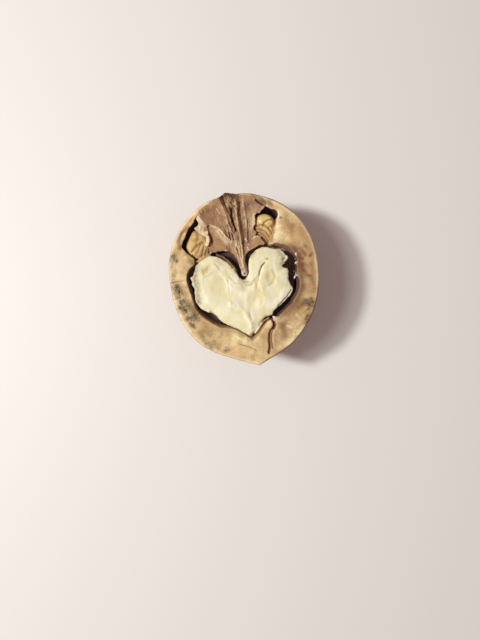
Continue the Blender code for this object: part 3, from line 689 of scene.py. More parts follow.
# Grooves of the lobes in the two windows, then jags of the neck's edge: points, half width, height or reach
LOBE_GROOVES = (
    (((4.9, 12.0), (6.0, 12.1), (7.1, 11.8), (7.9, 11.0), (8.3, 10.2)), 0.18, -0.45),
    (((4.7, 11.3), (5.6, 11.2), (6.6, 10.7), (7.3, 10.0), (7.7, 9.0)), 0.14, -0.36),
    (((4.8, 10.5), (5.5, 10.4), (6.4, 9.8), (6.9, 9.0), (7.2, 8.1)), 0.14, -0.34),
    (((5.2, 9.8), (5.9, 9.4), (6.4, 8.7), (6.7, 7.9)), 0.13, -0.28),
    (((8.6, 11.6), (8.8, 10.6), (8.6, 9.6)), 0.14, -0.2),
    (((6.7, 11.8), (7.1, 12.5), (7.9, 12.9), (9.0, 12.9)), 0.16, -0.4),
    (((9.0, 14.1), (9.5, 12.9), (9.3, 11.8), (8.8, 11.0)), 0.15, -0.25),
    (((-11.4, 8.6), (-10.2, 9.6), (-9.2, 10.1), (-8.3, 10.4)), 0.25, -0.3),
    (((-10.0, 8.0), (-9.4, 9.2), (-9.0, 10.0)), 0.16, -0.22),
    (((-9.2, 7.2), (-8.6, 8.6), (-8.2, 9.4)), 0.15, -0.3), (((-8.4, 7.1), (-7.9, 8.3)), 0.14, -0.25),
    (((-10.9, 7.3), (-10.1, 8.3)), 0.16, -0.2), (((-11.0, 11.6), (-10.0, 11.2), (-9.0, 11.5)), 0.3, -0.15),
    (((-11.5, 7.8), (-11.0, 6.9), (-10.3, 6.5)), 0.16, -0.6), (((-10.0, 9.9), (-9.0, 12.6)), 0.3, -0.12),
)
HEART_JAGS = (
    (((10.2, 1.2), (9.7, 1.5)), 0.3, 0.5), (((11.2, 3.6),), 0.4, -0.2),
    (((-9.0, -6.9), (-8.2, -7.8)), 0.3, 0.15), (((10.2, 5.2),), 0.3, 0.35), (((11.2, 4.2),), 0.22, 0.4),
    (((10.1, 2.6),), 0.2, 0.3), (((10.9, -0.6),), 0.2, 0.25),
)

# How sharply a step breaks
STEP_WIDTH = 0.18


def steps(x, y, lines):
    """Height from broken steps, which fall from the left side of each line to its right."""
    total = np.zeros(np.shape(x))
    for points, height, reach in lines:
        nearest = np.full(np.shape(x), np.inf)
        side = np.zeros(np.shape(x))
        for start, end in zip(points, points[1:]):
            away = np.hypot(*off_segment(x, y, start, end))
            (ax, ay), (bx, by) = start, end
            left = np.sign((bx - ax) * (y - ay) - (by - ay) * (x - ax))
            side = np.where(away < nearest, left * away, side)
            nearest = np.minimum(nearest, away)
        total += height * 0.5 * np.tanh(side / STEP_WIDTH) * bell(nearest, reach)
    return total


# Noises of the kernel: height, size, layer
HEART_CRUMBS = ((0.14, 0.5, 11.0),)
HEART_WAVES = ((0.15, 1.2, 12.0),)
TORN_FACE = ((0.16, 3.4, 13.0), (0.07, 1.3, 14.0))
MARK_BENDS = (((0.25, 1.1, 16.0),), ((0.25, 1.1, 18.0),))
BODY_FOLDS = ((0.22, 2.4, 17.0),)
LOBE_LUMPS = ((0.12, 1.3, 19.0), (0.05, 0.5, 20.0))

# The broken face: how far in its crown is reached, and the valley that runs up to the cleft
FACE_RISE = 0.1
CROWN_REACH = 6.0
VALLEY_DEPTH = 0.4
VALLEY_WIDTH = 2.2
VALLEY_RUN = (-14.0, 0.0)

# Its torn grain: size and layer, its height, and how much higher it is on the crumbs by the left edge
GRAIN = (0.5, 15.0)
GRAIN_HEIGHT = 0.025
CRUMB_HEIGHT = 0.12
CRUMB_EDGE = (-1.3, -0.1)
CRUMB_SIDE = (-7.0, -11.0)


def heart_distance(x, y):
    """Distance to the edge of the broken neck, with its crumbled jags."""
    edge = loop_distance(x, y, smooth_loop(HEART, 3)) + relief(x, y, HEART_JAGS)
    crumbly = 0.4 + 0.6 * smooth_step(-8.0, -11.0, x)
    return edge + crumbly * ripples(x, y, HEART_CRUMBS) + ripples(x, y, HEART_WAVES)


def face_top(x, y, edge):
    """Height of the broken face: pillows, a valley and torn flesh."""
    crown = 1 - (1 - np.clip(-edge / CROWN_REACH, 0, 1)) ** 3
    valley = VALLEY_DEPTH * bell(x, VALLEY_WIDTH) * smooth_step(*VALLEY_RUN, y)
    crumbs = smooth_step(*CRUMB_EDGE, edge) * (0.3 + 0.7 * smooth_step(*CRUMB_SIDE, x))
    torn = ripples(x, y, TORN_FACE) + (GRAIN_HEIGHT + CRUMB_HEIGHT * crumbs) * noise_on(x, y, *GRAIN)
    bent = [place + ripples(x, y, bend) for place, bend in zip((x, y), MARK_BENDS)]
    marks = relief(*bent, FLESH_RELIEF) + steps(*bent, FLESH_STEPS)
    return FACE_HEIGHT + FACE_RISE + FACE_CROWN * crown * (1 - valley) + torn + marks


def shoulder_height(x, y):
    """Height of the kernel's shoulders outside the broken neck."""
    turn = np.degrees(np.arctan2(y - KERNEL_CENTRE[1], x - KERNEL_CENTRE[0])) % 360
    stops = [*SHOULDER_FALL, (360, SHOULDER_FALL[0][1])]
    fall = np.zeros(np.shape(x))
    for (start, here), (end, after) in zip(stops, stops[1:]):
        between = (turn >= start) & (turn <= end)
        fall = np.where(between, here + (after - here) * smooth_step(start, end, turn), fall)
    return RIM_HEIGHT - fall


# How far a lobe falls from its top to its edge
LOBE_FALL = 1.9


def lobe_top(x, y):
    """Height of the two lobes, which are flat-topped pillows, and the distance outside them."""
    top = np.full(np.shape(x), -np.inf)
    edge = np.full(np.shape(x), np.inf)
    for outline, height, inset in LOBES:
        off = loop_distance(x, y, smooth_loop(outline, 3))
        rise = np.sqrt(1 - (1 - np.clip(-off / inset, 0, 1)) ** 2)
        top = np.where(off < edge, height - LOBE_FALL * (1 - rise), top)
        edge = np.minimum(edge, off)
    cap = np.hypot(x - CAP_CENTRE[0], y - CAP_CENTRE[1]) / CAP_RADIUS
    top = top + CAP_RISE * np.sqrt(np.maximum(1 - cap * cap, 0))
    return top + ripples(x, y, LOBE_LUMPS) + relief(x, y, LOBE_GROOVES), edge


# The kernel's gap to the cavity's floor, what the sides have more than that, and its gap to the ceiling
BELLY_GAP = 0.55
SIDE_GAP = 0.85
CEILING_GAP = 0.45

# The heights where its raised parts end inside the body, the web's half width, and how tall the rolls are
NECK_FOOT = 10.0
LOBE_FOOT = 12.0
WEB_WIDTH = 0.32
ROLL_STRETCH = 0.6

# Roundings where its parts meet
NECK_ROUND = 0.45
BODY_ROUND = 1.0
LOBE_ROUND = 0.3
NECK_BLEND = 0.5
LOBE_BLEND = 0.4
WEB_BLEND = 0.2
ROLL_BLEND = 0.25


def kernel_field(grid):
    x, y, z = grid.x, grid.y, grid.z
    edge = heart_distance(x, y)
    top = face_top(x, y, edge)
    neck = smooth_max(edge[..., None], z - top[..., None], NECK_ROUND)
    neck = np.maximum(neck, NECK_FOOT - z)
    reach = np.hypot(x, y)
    radius = rim_radius(np.arctan2(y, x)) - WALL
    bowl = dome_field(reach[..., None], CAVITY_HEIGHT - z, radius[..., None], CAVITY_HEIGHT - WALL)
    belly = bowl + BELLY_GAP + SIDE_GAP * smooth_step(3.0, 9.0, reach)[..., None]
    height = np.minimum(shoulder_height(x, y), ceiling(reach / radius) - CEILING_GAP)
    height = height - SHOULDER_ROUND * np.clip(edge / 5.0, 0, 1) ** 4
    folds = ripples(x, y, BODY_FOLDS) * smooth_step(0.5, 2.0, edge)
    body = smooth_max(belly, z - (height + folds - 0.1)[..., None], BODY_ROUND)
    top, off = lobe_top(x, y)
    lobes = smooth_max(off[..., None], z - top[..., None], LOBE_ROUND)
    lobes = np.maximum(lobes, LOBE_FOOT - z)
    web = line_distance(x, y, WEB)[..., None] - WEB_WIDTH
    web = np.maximum(smooth_max(web, z - WEB_HEIGHT, WEB_BLEND), LOBE_FOOT - z)
    field = smooth_min(smooth_min(neck, body, NECK_BLEND), lobes, LOBE_BLEND)
    field = smooth_min(field, web, WEB_BLEND)
    for line, middle, size in SKIN_ROLLS:
        away = line_distance(x, y, line)[..., None]
        field = smooth_min(field, np.hypot(away, (z - middle) * ROLL_STRETCH) - size, ROLL_BLEND)
    return field


# Paint on the kernel: a line of points, half width, strength
YELLOW = (
    (((-9.5, 3.0), (-8.5, 3.6), (-7.8, 4.2)), 0.8, 0.8), (((6.4, 3.7),), 0.5, 0.9),
    (MIDDLE_SPLIT, 0.4, 0.9), (((5.9, -0.1), (5.8, -1.4)), 0.9, 0.6),
    (((6.9, 0.8), (7.1, -0.8), (6.6, -1.9), (5.6, -2.5)), 0.35, 1.0),
    (((-4.05, 0.2), (-4.0, -2.8), (-4.3, -4.5)), 0.28, 1.0), (((3.0, -3.4), (1.8, -7.0)), 1.8, 0.5),
    (((-1.2, -3.0), (-3.0, -1.0)), 1.4, 0.4), (((-6.8, 1.8), (-8.6, -1.0)), 1.6, 0.3),
    (((0.4, -10.6), (0.0, -12.4)), 0.7, 0.4), (((5.0, 5.6), (7.0, 4.6)), 1.0, 0.3),
    (((-6.4, 4.7), (-5.4, 3.4)), 0.3, 0.6), (((-2.5, 0.3), (-0.2, -1.7), (1.4, -1.7)), 0.3, 0.5),
    (((-2.4, -7.5), (-0.8, -9.4)), 0.3, 0.4),
)
BRIGHT = (
    (((-3.1, -0.8), (-1.6, -3.4)), 1.5, 0.9), (((1.3, -6.8), (0.2, -9.6)), 1.1, 0.9),
    (((5.0, 0.9), (4.6, 1.4)), 0.6, 0.6), (((4.8, -7.2), (7.4, -6.6), (9.2, -4.8)), 1.2, 1.0),
    (((9.2, -0.8), (9.6, -2.0)), 0.9, 0.6), (((-1.2, -9.4), (-0.6, -11.4)), 0.8, 0.6),
)
GREY = (
    (((-11.0, 5.0), (-11.6, 2.8), (-11.5, 0.4), (-11.8, -3.6)), 0.9, 1.0),
    (((-10.2, 4.0), (-9.6, 3.2)), 0.8, 0.5), (((0.0, -0.4), (0.2, -1.0)), 0.9, 0.9),
    (((9.3, 5.2), (9.8, 3.4), (9.2, 1.2)), 0.8, 0.6), (((2.6, 5.0), (3.4, 5.8)), 0.5, 0.8),
    (((7.0, -8.2), (8.4, -7.2)), 0.3, 0.8), (((-6.0, 5.6), (-5.0, 4.4)), 0.4, 0.4),
    (((-1.6, 2.2), (-1.0, 0.6)), 0.4, 0.5), (((-9.4, -6.4), (-7.8, -8.2)), 0.35, 0.5),
    (((3.6, -9.6), (1.6, -11.4)), 0.4, 0.5),
)
SKIN_PATCH = (
    (((2.5, -10.9), (3.2, -10.4), (4.4, -10.1)), 0.4, 1.0), (((-0.9, -13.7), (-0.2, -13.3)), 0.4, 0.8),
    (((1.3, 3.4), (1.8, 4.6), (2.6, 5.6)), 0.25, 0.8), (((-2.5, 3.3), (-2.1, 3.15)), 0.2, 1.0),
    (((6.4, 3.75),), 0.18, 0.6), (((-3.1, 4.3), (-2.1, 3.0), (-1.6, 1.8), (-1.1, 0.6)), 0.14, 0.8),
    (((-11.3, 5.3), (-9.6, 6.2), (-7.2, 7.1)), 0.16, 0.8),
)
# Dark lines on the broken face: painted shade in its slits, split and nick, and a thin line of real skin
# along its lifted edge
FLESH_LINES = (
    (((5.5, 3.0), (4.6, 2.2), (4.0, 1.2), (3.65, 0.3)), 0.13, 1.0), (((3.6, 0.2), (3.0, -1.2)), 0.12, 0.45),
    (RIGHT_NICK, 0.12, 0.7), (LIFTED_EDGE, 0.13, 1.0), (LOWER_SPLIT, 0.1, 0.35),
)
# Painted shade: a dark tone over the skin in the cleft under the septum
CLEFT_SHADE = (
    (((-6.0, 7.0), (-3.4, 5.8), (-1.4, 3.6), (-0.4, 1.0)), 2.2, 1.0),
    (((1.0, 1.0), (1.6, 4.4), (4.0, 6.8)), 0.8, 0.7),
)
BROWN_SKIN = (
    (((-9.6, 12.6), (-9.4, 7.6)), 3.5, 0.5), (((5.0, 11.0), (6.4, 9.0), (7.2, 7.6)), 1.4, 0.85),
    (((9.8, 13.0), (9.4, 10.4)), 0.8, 0.8), (((8.2, 9.8), (7.6, 8.0)), 0.9, 0.6),
)
GLOSS = ((((6.3, 13.5),), 1.0, 1.0), (((5.3, 11.6), (5.6, 10.2)), 0.5, 0.8))

# Folds of the hidden skin: depth, size and offset of their noises, and how smooth the windows' skin is
SKIN_FOLDS = ((0.45, 3.0, (0, 0, 21)), (0.16, 1.3, (5, 0, 2)))
WINDOW_SMOOTH = 0.8

# How deep a groove is where its paint is full
FULL_GROOVE = 0.3


def make_kernel(material):
    grid = Grid(
        low=(-15.2, -18.6, 1.6), high=(15.0, 18.2, 18.0), step=0.18,
        fine_above=12.6, fine_step=0.18, coarse_step=0.42,
    )
    points, quads = skin(kernel_field(grid), grid)
    normals = normals_of(points, quads)
    x, y, z = points.T
    edge = heart_distance(x, y)
    flesh = smooth_step(0.75, 0.35, face_top(x, y, edge) - z) * smooth_step(0.35, 0.1, edge)
    folds = sum(depth * np.abs(noise_at(points, size, offset)) for depth, size, offset in SKIN_FOLDS)
    skinned = (1 - flesh) * smooth_step(0.0, 0.6, edge)
    window = smooth_step(0.5, 0.0, lobe_top(x, y)[1]) * (1 - flesh)
    rolls = np.min([line_distance(x, y, line) - size for line, _, size in SKIN_ROLLS], axis=0)
    points = points - normals * (skinned * folds * (1 - WINDOW_SMOOTH * window))[:, None]
    x, y, z = points.T
    paints = {
        "flesh": flesh,
        "yellow": paint(x, y, YELLOW),
        "grey": paint(x, y, GREY),
        "bright": paint(x, y, BRIGHT),
        "patch": paint(x, y, SKIN_PATCH),
        "line": paint(x, y, FLESH_LINES),
        "groove": np.clip(-relief(x, y, LOBE_GROOVES) / FULL_GROOVE, 0, 1),
        # painted light: deep in the gaps the kernel's skin is painted lighter, standing in for light bounced
        # into them
        "deep": smooth_step(15.2, 12.6, z),
        "window": window,
        "rolled": smooth_step(0.25, -0.05, rolls) * smooth_step(14.2, 15.2, z),
        "tip_side": smooth_step(-9.0, -10.0, y),
        # painted shade in the cleft
        "cleft": paint(x, y, CLEFT_SHADE) * smooth_step(-0.15, 0.05, rolls),
        "brown_skin": paint(x, y, BROWN_SKIN),
        "wet": paint(x, y, GLOSS),
    }
    return make_piece("walnut_kernel", points, quads, paints, material, "kernel")


# Outlines of the septum's layers: the panel below the torn edge, the flap and the flake
TORN_EDGE = (
    (-6.4, 14.1), (-5.9, 14.1), (-5.0, 13.6), (-4.2, 13.0), (-3.5, 12.2), (-3.1, 11.4), (-2.8, 10.6),
    (-2.0, 9.9), (-1.8, 9.2),
)
LOWER_PANEL = TORN_EDGE + (
    (-1.8, 7.6), (-2.4, 6.2), (-5.6, 7.0), (-7.8, 6.8), (-8.4, 9.4), (-8.6, 12.2), (-7.4, 13.6),
)
FLAP = (
    (-8.3, 16.9), (-7.7, 15.9), (-7.2, 15.2), (-6.8, 14.2), (-6.6, 13.2), (-6.6, 12.5), (-6.8, 11.8),
    (-6.5, 11.3), (-6.6, 10.3), (-7.0, 9.5), (-7.6, 9.0), (-8.2, 9.7), (-7.6, 10.2), (-7.4, 11.2),
    (-7.8, 11.7), (-8.7, 12.4), (-9.1, 12.9), (-9.7, 13.5), (-9.7, 14.0), (-8.9, 14.4), (-8.6, 14.8),
    (-8.7, 15.4), (-9.0, 16.2),
)
FLAKE = (
    (3.6, 9.4), (4.9, 9.7), (5.4, 9.2), (5.7, 8.4), (6.3, 7.5), (6.0, 7.1), (5.1, 7.3), (3.8, 6.9),
    (2.6, 6.4), (2.3, 7.4), (2.6, 8.6),
)

# Lines of the septum that are both cut and painted
LONG_FOLD = ((-1.8, 20.7), (-1.5, 18.2), (-0.9, 16.1), (-0.5, 14.3), (0.1, 12.1))
DEEP_FOLD = ((-0.2, 17.0), (-0.4, 14.8), (-0.2, 13.3), (0.0, 11.8))
LEFT_SLIT = ((-1.75, 11.6), (-1.6, 9.8))
RIGHT_SLIT = ((-1.1, 11.2), (-0.95, 9.6))
WING_SLIT = ((6.0, 18.1), (6.7, 17.2), (7.5, 16.6))
LONG_GAP = ((0.6, 11.0), (0.2, 5.0))
FOOT_GAP = ((-0.4, 7.6), (-0.1, 3.2))
UPPER_GAP = ((-2.6, 12.4), (-1.9, 10.0))

# Relief of the septum: a line of points, half width, height
SEPTUM_RELIEF = (
    (LONG_FOLD, 0.2, -0.5), (DEEP_FOLD, 0.25, -0.8),
    (((2.1, 19.3), (1.8, 16.4), (1.7, 13.2), (1.8, 10.8), (1.4, 8.0)), 0.55, -0.45),
    (LEFT_SLIT, 0.14, -0.5), (RIGHT_SLIT, 0.14, -0.5),
    (((-2.7, 19.9), (-2.0, 16.8), (-1.6, 13.8), (-1.1, 11.3)), 0.35, 0.45),
    (((0.8, 19.4), (0.7, 14.0), (0.5, 8.0), (0.3, 3.0)), 0.45, 0.4),
    (((2.9, 18.0), (2.6, 12.0), (1.9, 8.0)), 0.3, 0.25), (((-5.4, 17.0), (-5.0, 15.4)), 1.7, -0.8),
    (((4.2, 16.4), (3.8, 12.6)), 1.0, -0.4), (WING_SLIT, 0.2, -0.7), (((0.25, 1.2),), 0.5, 0.3),
    (((0.3, 1.25),), 0.16, -0.3), (((-1.2, 8.4), (0.0, 4.0)), 0.35, 0.2),
    (((-0.2, 20.6), (0.9, 19.4)), 0.25, -0.5), (((-1.3, 20.6), (-0.9, 19.8)), 0.25, 0.15),
    (((-0.9, 17.6), (-0.8, 14.2)), 0.22, 0.25),
    (((-8.0, 17.2), (-6.5, 18.5), (-4.5, 19.1), (-3.0, 19.8)), 0.6, 0.12),
    (((-0.7, 19.0), (0.0, 17.4)), 0.2, 0.3), (((1.2, 18.4), (1.0, 15.2)), 0.2, 0.3), (LONG_GAP, 0.2, -0.35),
    (FOOT_GAP, 0.18, -0.3), (UPPER_GAP, 0.2, -0.2), (((3.2, 11.4), (2.2, 7.6)), 0.25, -0.25),
    (((-0.6, 10.0), (0.0, 6.0)), 0.2, 0.25), (((-4.0, 12.0), (-2.4, 9.4)), 0.5, 0.25),
    (((1.0, 10.4), (0.75, 6.2)), 0.18, 0.25),
)

# Small beads along the torn edges: place, half width
BEADS = (
    ((1.9, 9.5), 0.14), ((2.0, 9.2), 0.1), ((2.2, 8.8), 0.15), ((2.3, 8.3), 0.1), ((2.3, 8.0), 0.14),
    ((2.1, 7.3), 0.16), ((2.15, 6.7), 0.12), ((-3.2, 7.5), 0.2), ((-2.8, 7.4), 0.13), ((-6.9, 7.6), 0.2),
    ((-1.5, 9.4), 0.17), ((-1.7, 9.1), 0.12), ((-0.35, 1.9), 0.1),
)

# The frayed end of the stem: lines cut between its fibres, their half width and height
STEM_LINES = (
    ((-1.3, 21.0), (-1.1, 19.6)), ((-0.6, 21.0), (-0.7, 19.4)), ((-2.2, 20.5), (-1.8, 19.2)),
    ((0.3, 20.6), (0.1, 18.9)), ((1.0, 20.4), (0.9, 18.6)), ((-1.7, 20.9), (-1.5, 19.4)),
)
STEM_WIDTH = 0.13
STEM_HEIGHT = -0.2

# Noises of the septum: height, size, layer
TEARS = ((0.1, 0.5, 33.0), (0.13, 1.1, 34.0))
ROUGHNESS = ((0.06, 0.5, 35.0), (0.12, 1.7, 40.0))
WANDER = ((0.12, 2.6, 30.0),)
KNOTS = ((0.8, 1.7, 39.0),)
RIM_SAG = ((0.1, 1.4, 41.0),)
FLAP_WAVES = ((0.25, 1.3, 36.0), (0.06, 0.5, 37.0))
FLAKE_WAVES = ((0.1, 1.2, 38.0),)

# The coarse and the fine fibres: how many to a radian, how long they run, layer of the noise, height
FIBRES = ((30, 5, 31.0, 0.5), (80, 3, 32.0, 0.28))

# How far the layers lie above or below the rim or the fan's top, and how thick they are
TOP_DROP = 0.05
PANEL_DROP = 0.45
CURL_RISE = 0.3
FLAP_RISE = 0.12
FLAP_THICKNESS = 0.3
FLAKE_RISE = 0.08
FLAKE_THICKNESS = 0.35
LAYER_ROUND = 0.12

# The fan's thickness, what its middle and the part over the rim have more, and how far it sags there
FAN_THICKNESS = 0.55
CORE_THICKNESS = 0.75
CORE_WIDTH = 2.4
OVER_RIM_THICKNESS = 0.3
SAG = 0.22

# The share of the torn edge's wandering that each layer takes
PANEL_TEAR = 0.6
FLAP_TEAR = 0.5
FLAKE_TEAR = 0.6

# The flap's curls: height, and from where to where each rises along X and along Y
FLAP_CURLS = (
    (0.3, (-8.6, -9.8), (-1.0, 0.0)), (0.35, (-7.4, -6.7), (12.6, 11.0)), (-0.2, (-7.8, -6.8), (12.4, 13.4)),
)

# The flake's tilt, for each millimetre along X and Y from its middle
FLAKE_TILT = 0.1
FLAKE_MIDDLE = (4, 8)


def septum_lift(y):
    """Height of the septum above the rim, from its foot to the stem end."""
    return np.interp(y, *np.transpose(FAN_LIFTS))


def core_share(x, y, width):
    """1 along the thick middle of the fan, which widens to the stem end, and 0 on its smooth wings."""
    return bell(x - 0.3, width + 0.06 * y)


def fan_place(x, y):
    """Direction and distance from the source of the fibres, which run straight out from it."""
    off_x, off_y = x - FIBRE_SOURCE[0], y - FIBRE_SOURCE[1]
    return np.arctan2(off_x, off_y), np.hypot(off_x, off_y)


def fibres(x, y):
    """Ridges along the fibres, coarse in the middle of the fan and faint on its smooth wings."""
    turn, reach = fan_place(x, y)
    turn = turn + ripples(x, y, WANDER)
    ridges = sum(
        height * noise_on(turn * count, reach / length, 1.0, layer) for count, length, layer, height in FIBRES
    )
    return (0.2 + 0.8 * core_share(x, y, 1.6)) * (0.6 + ripples(x, y, KNOTS)) * ridges


def sheet(x, y, z, edge, top, thick):
    """A thin layer whose top has a height at each place, rounded at its edge."""
    across = smooth_max(z - top[..., None], (top - thick)[..., None] - z, 0.1)
    return smooth_max(edge[..., None], across, 0.2)


def septum_field(grid):
    x, y, z = grid.x, grid.y, grid.z
    tear = ripples(x, y, TEARS)
    outline = loop_distance(x, y, np.array(FAN)) + tear
    rough = fibres(x, y) * smooth_step(-2.0, 5.0, y) + ripples(x, y, ROUGHNESS)
    frayed = relief(x, y, [(line, STEM_WIDTH, STEM_HEIGHT) for line in STEM_LINES])
    over_rim = smooth_step(-0.4, 1.4, loop_distance(x, y, smooth_loop(OPENING, 3)))
    sag = (SAG + ripples(x, y, RIM_SAG)) * over_rim * smooth_step(1.5, 3.5, np.abs(x + 0.5))
    top = RIM_HEIGHT - TOP_DROP + septum_lift(y) - sag + rough * (1 - 0.5 * over_rim)
    top += relief(x, y, SEPTUM_RELIEF) + frayed
    core = bell(x, CORE_WIDTH) * smooth_step(3.0, 8.0, y)
    thick = FAN_THICKNESS + CORE_THICKNESS * core + OVER_RIM_THICKNESS * over_rim
    low_panel = loop_distance(x, y, np.array(LOWER_PANEL)) + PANEL_TEAR * tear
    step = smooth_step(0.12, -0.12, low_panel)
    curled = CURL_RISE * bell(line_distance(x, y, TORN_EDGE), 0.3) * (1 - step)
    field = sheet(x, y, z, outline, top - PANEL_DROP * step + curled, thick)
    flap_edge = loop_distance(x, y, np.array(FLAP)) + FLAP_TEAR * tear
    curl = sum(
        height * smooth_step(*across, x) * smooth_step(*along, y) for height, across, along in FLAP_CURLS
    )
    flap_top = RIM_HEIGHT + FLAP_RISE + curl + ripples(x, y, FLAP_WAVES)
    field = smooth_min(field, sheet(x, y, z, flap_edge, flap_top, FLAP_THICKNESS), LAYER_ROUND)
    flake_edge = loop_distance(x, y, np.array(FLAKE)) + FLAKE_TEAR * tear
    tilt = FLAKE_TILT * (x - FLAKE_MIDDLE[0] + y - FLAKE_MIDDLE[1])
    flake_top = RIM_HEIGHT + FLAKE_RISE + ripples(x, y, FLAKE_WAVES) + tilt
    field = smooth_min(field, sheet(x, y, z, flake_edge, flake_top, FLAKE_THICKNESS), LAYER_ROUND)
    for (bead_x, bead_y), size in BEADS:
        away = np.hypot(x - bead_x, y - bead_y)[..., None]
        height = RIM_HEIGHT + float(septum_lift(bead_y)) - TOP_DROP
        field = smooth_min(field, np.hypot(away, z - height) - size, 0.1)
    return field


# Paint on the septum: a line of points, half width, strength
# Painted shade in the septum's folds, slits and gaps and in the stem's notch, with the shadow the flap casts
# beside it
SEPTUM_SHADE = (
    (LONG_FOLD, 0.13, 0.75), (DEEP_FOLD, 0.2, 1.0), (LEFT_SLIT, 0.11, 1.0), (RIGHT_SLIT, 0.11, 0.9),
    (((-6.25, 12.0), (-6.1, 11.0), (-6.2, 10.1)), 0.28, 0.9), (WING_SLIT, 0.15, 1.0),
    (((-2.6, 20.1), (-0.6, 20.7), (1.0, 20.2)), 0.8, 0.75), (((-1.9, 13.4), (-1.7, 12.0)), 0.13, 0.7),
    (((0.2, 20.0), (0.7, 18.4)), 0.18, 0.8), (LONG_GAP, 0.1, 0.4), (FOOT_GAP, 0.1, 0.4),
    (UPPER_GAP, 0.12, 0.4), (((3.6, 9.5), (2.6, 8.6), (2.3, 7.4)), 0.12, 0.5),
    (((0.3, 17.8), (0.2, 15.4)), 0.12, 0.6), (((-2.4, 19.6), (-2.0, 17.6)), 0.12, 0.5),
    (((0.3, 1.3), (0.2, 1.1)), 0.16, 0.8), (((-0.2, 2.2), (0.5, 2.3)), 0.12, 0.5),
)
SEPTUM_PALE = (
    (TORN_EDGE[1:8], 0.2, 1.0),
    (((-4.4, 12.3), (-3.5, 10.6), (-2.5, 9.4)), 0.6, 0.6),
    (((3.6, 14.8), (3.9, 13.2), (3.4, 11.8)), 0.8, 0.4), (((-0.4, 8.4), (0.1, 5.4), (0.1, 2.4)), 0.75, 0.7),
    (((4.9, 14.6), (4.6, 13.2), (4.1, 11.8)), 0.45, 0.75), (((-3.7, 17.7), (-3.2, 16.4)), 0.12, 0.7),
    (((7.6, 16.2), (6.4, 15.0)), 0.35, 0.7),
    (((-0.3, 1.6), (-0.1, 0.8), (0.6, 0.75), (0.85, 1.6)), 0.2, 1.0),
    (((-1.2, 9.6), (-1.6, 9.2)), 0.35, 0.6),
    (((-2.3, 18.2), (-2.0, 16.8), (-1.6, 13.8), (-1.1, 11.3)), 0.2, 0.4),
    (((0.8, 19.0), (0.7, 14.0), (0.5, 8.0)), 0.22, 0.5),
    (((-0.2, 5.6), (-0.1, 3.0), (0.1, 1.6)), 0.16, 0.8), (((-0.9, 7.0), (-0.4, 4.6)), 0.2, 0.6),
    (((2.9, 16.0), (2.6, 12.0)), 0.25, 0.5), (((-0.2, 1.6),), 0.16, 0.9),
    (((3.5, 9.2), (4.6, 9.6), (5.3, 9.1)), 0.2, 0.8), (((5.8, 8.2), (6.2, 7.5)), 0.15, 0.5),
)
SEPTUM_TAN = (
    (((-5.6, 12.4), (-5.4, 9.4), (-4.0, 8.2)), 1.2, 1.0), (((3.9, 8.4), (5.2, 8.0)), 1.1, 1.0),
    (((-6.9, 16.8), (-6.5, 14.8)), 0.5, 0.6),
    (((-8.0, 17.4), (-6.4, 18.6), (-4.4, 19.3), (-2.8, 19.9)), 0.75, 1.0),
    (((7.2, 18.2), (5.2, 18.9), (3.2, 19.6)), 0.5, 0.9),
    (((-3.0, 18.6), (-2.2, 15.0), (-1.9, 12.2)), 0.3, 0.8),
    (((0.4, 9.4), (0.0, 5.0), (0.1, 2.0)), 0.6, 0.8), (((-1.6, 8.0), (-0.6, 5.4)), 0.5, 0.8),
    (((0.7, 18.0), (0.6, 12.0)), 0.35, 0.7),
)
SEPTUM_RED = (
    (((-2.8, 8.0), (-2.6, 7.2)), 0.6, 1.0),
    (((2.1, 19.3), (1.8, 16.4), (1.7, 13.2), (1.8, 10.8)), 0.45, 1.0),
    (((-5.2, 17.0), (-4.8, 15.6)), 1.1, 0.55), (((-5.0, 10.4), (-4.6, 10.0)), 0.4, 0.5),
    (((1.3, 8.6), (1.0, 5.6)), 0.3, 0.7), (((-2.0, 18.6), (-1.6, 20.4)), 0.6, 0.6),
    (((6.6, 17.8), (7.6, 17.2)), 0.5, 0.5),
)


def make_septum(material):
    grid = Grid(
        low=(-10.6, 0.2, 14.0), high=(8.6, 21.9, 18.3), step=0.105,
        fine_above=14.1, fine_step=0.105, coarse_step=0.105,
    )
    points, quads = skin(septum_field(grid), grid)
    x, y, z = points.T
    flap = smooth_step(0.1, -0.1, loop_distance(x, y, np.array(FLAP))) * smooth_step(16.9, 17.1, z)
    beads = np.zeros(len(points))
    for (bead_x, bead_y), size in BEADS:
        beads = np.maximum(beads, smooth_step(size + 0.12, size - 0.05, np.hypot(x - bead_x, y - bead_y)))
    turn, reach = fan_place(x, y)
    paints = {
        "dark": paint(x, y, SEPTUM_SHADE),
        "pale": np.maximum(paint(x, y, SEPTUM_PALE), flap),
        "tan": paint(x, y, SEPTUM_TAN),
        "red": paint(x, y, SEPTUM_RED),
        "bead": beads * smooth_step(16.0, 16.4, z),
        "fan_turn": turn,
        "fan_reach": reach,
        # painted shade: the septum's lower parts are painted darker
        "deep": smooth_step(16.2, 15.5, z),
        "wing": 1 - core_share(x, y, 1.8),
    }
    return make_piece("walnut_septum", points, quads, paints, material, "septum")


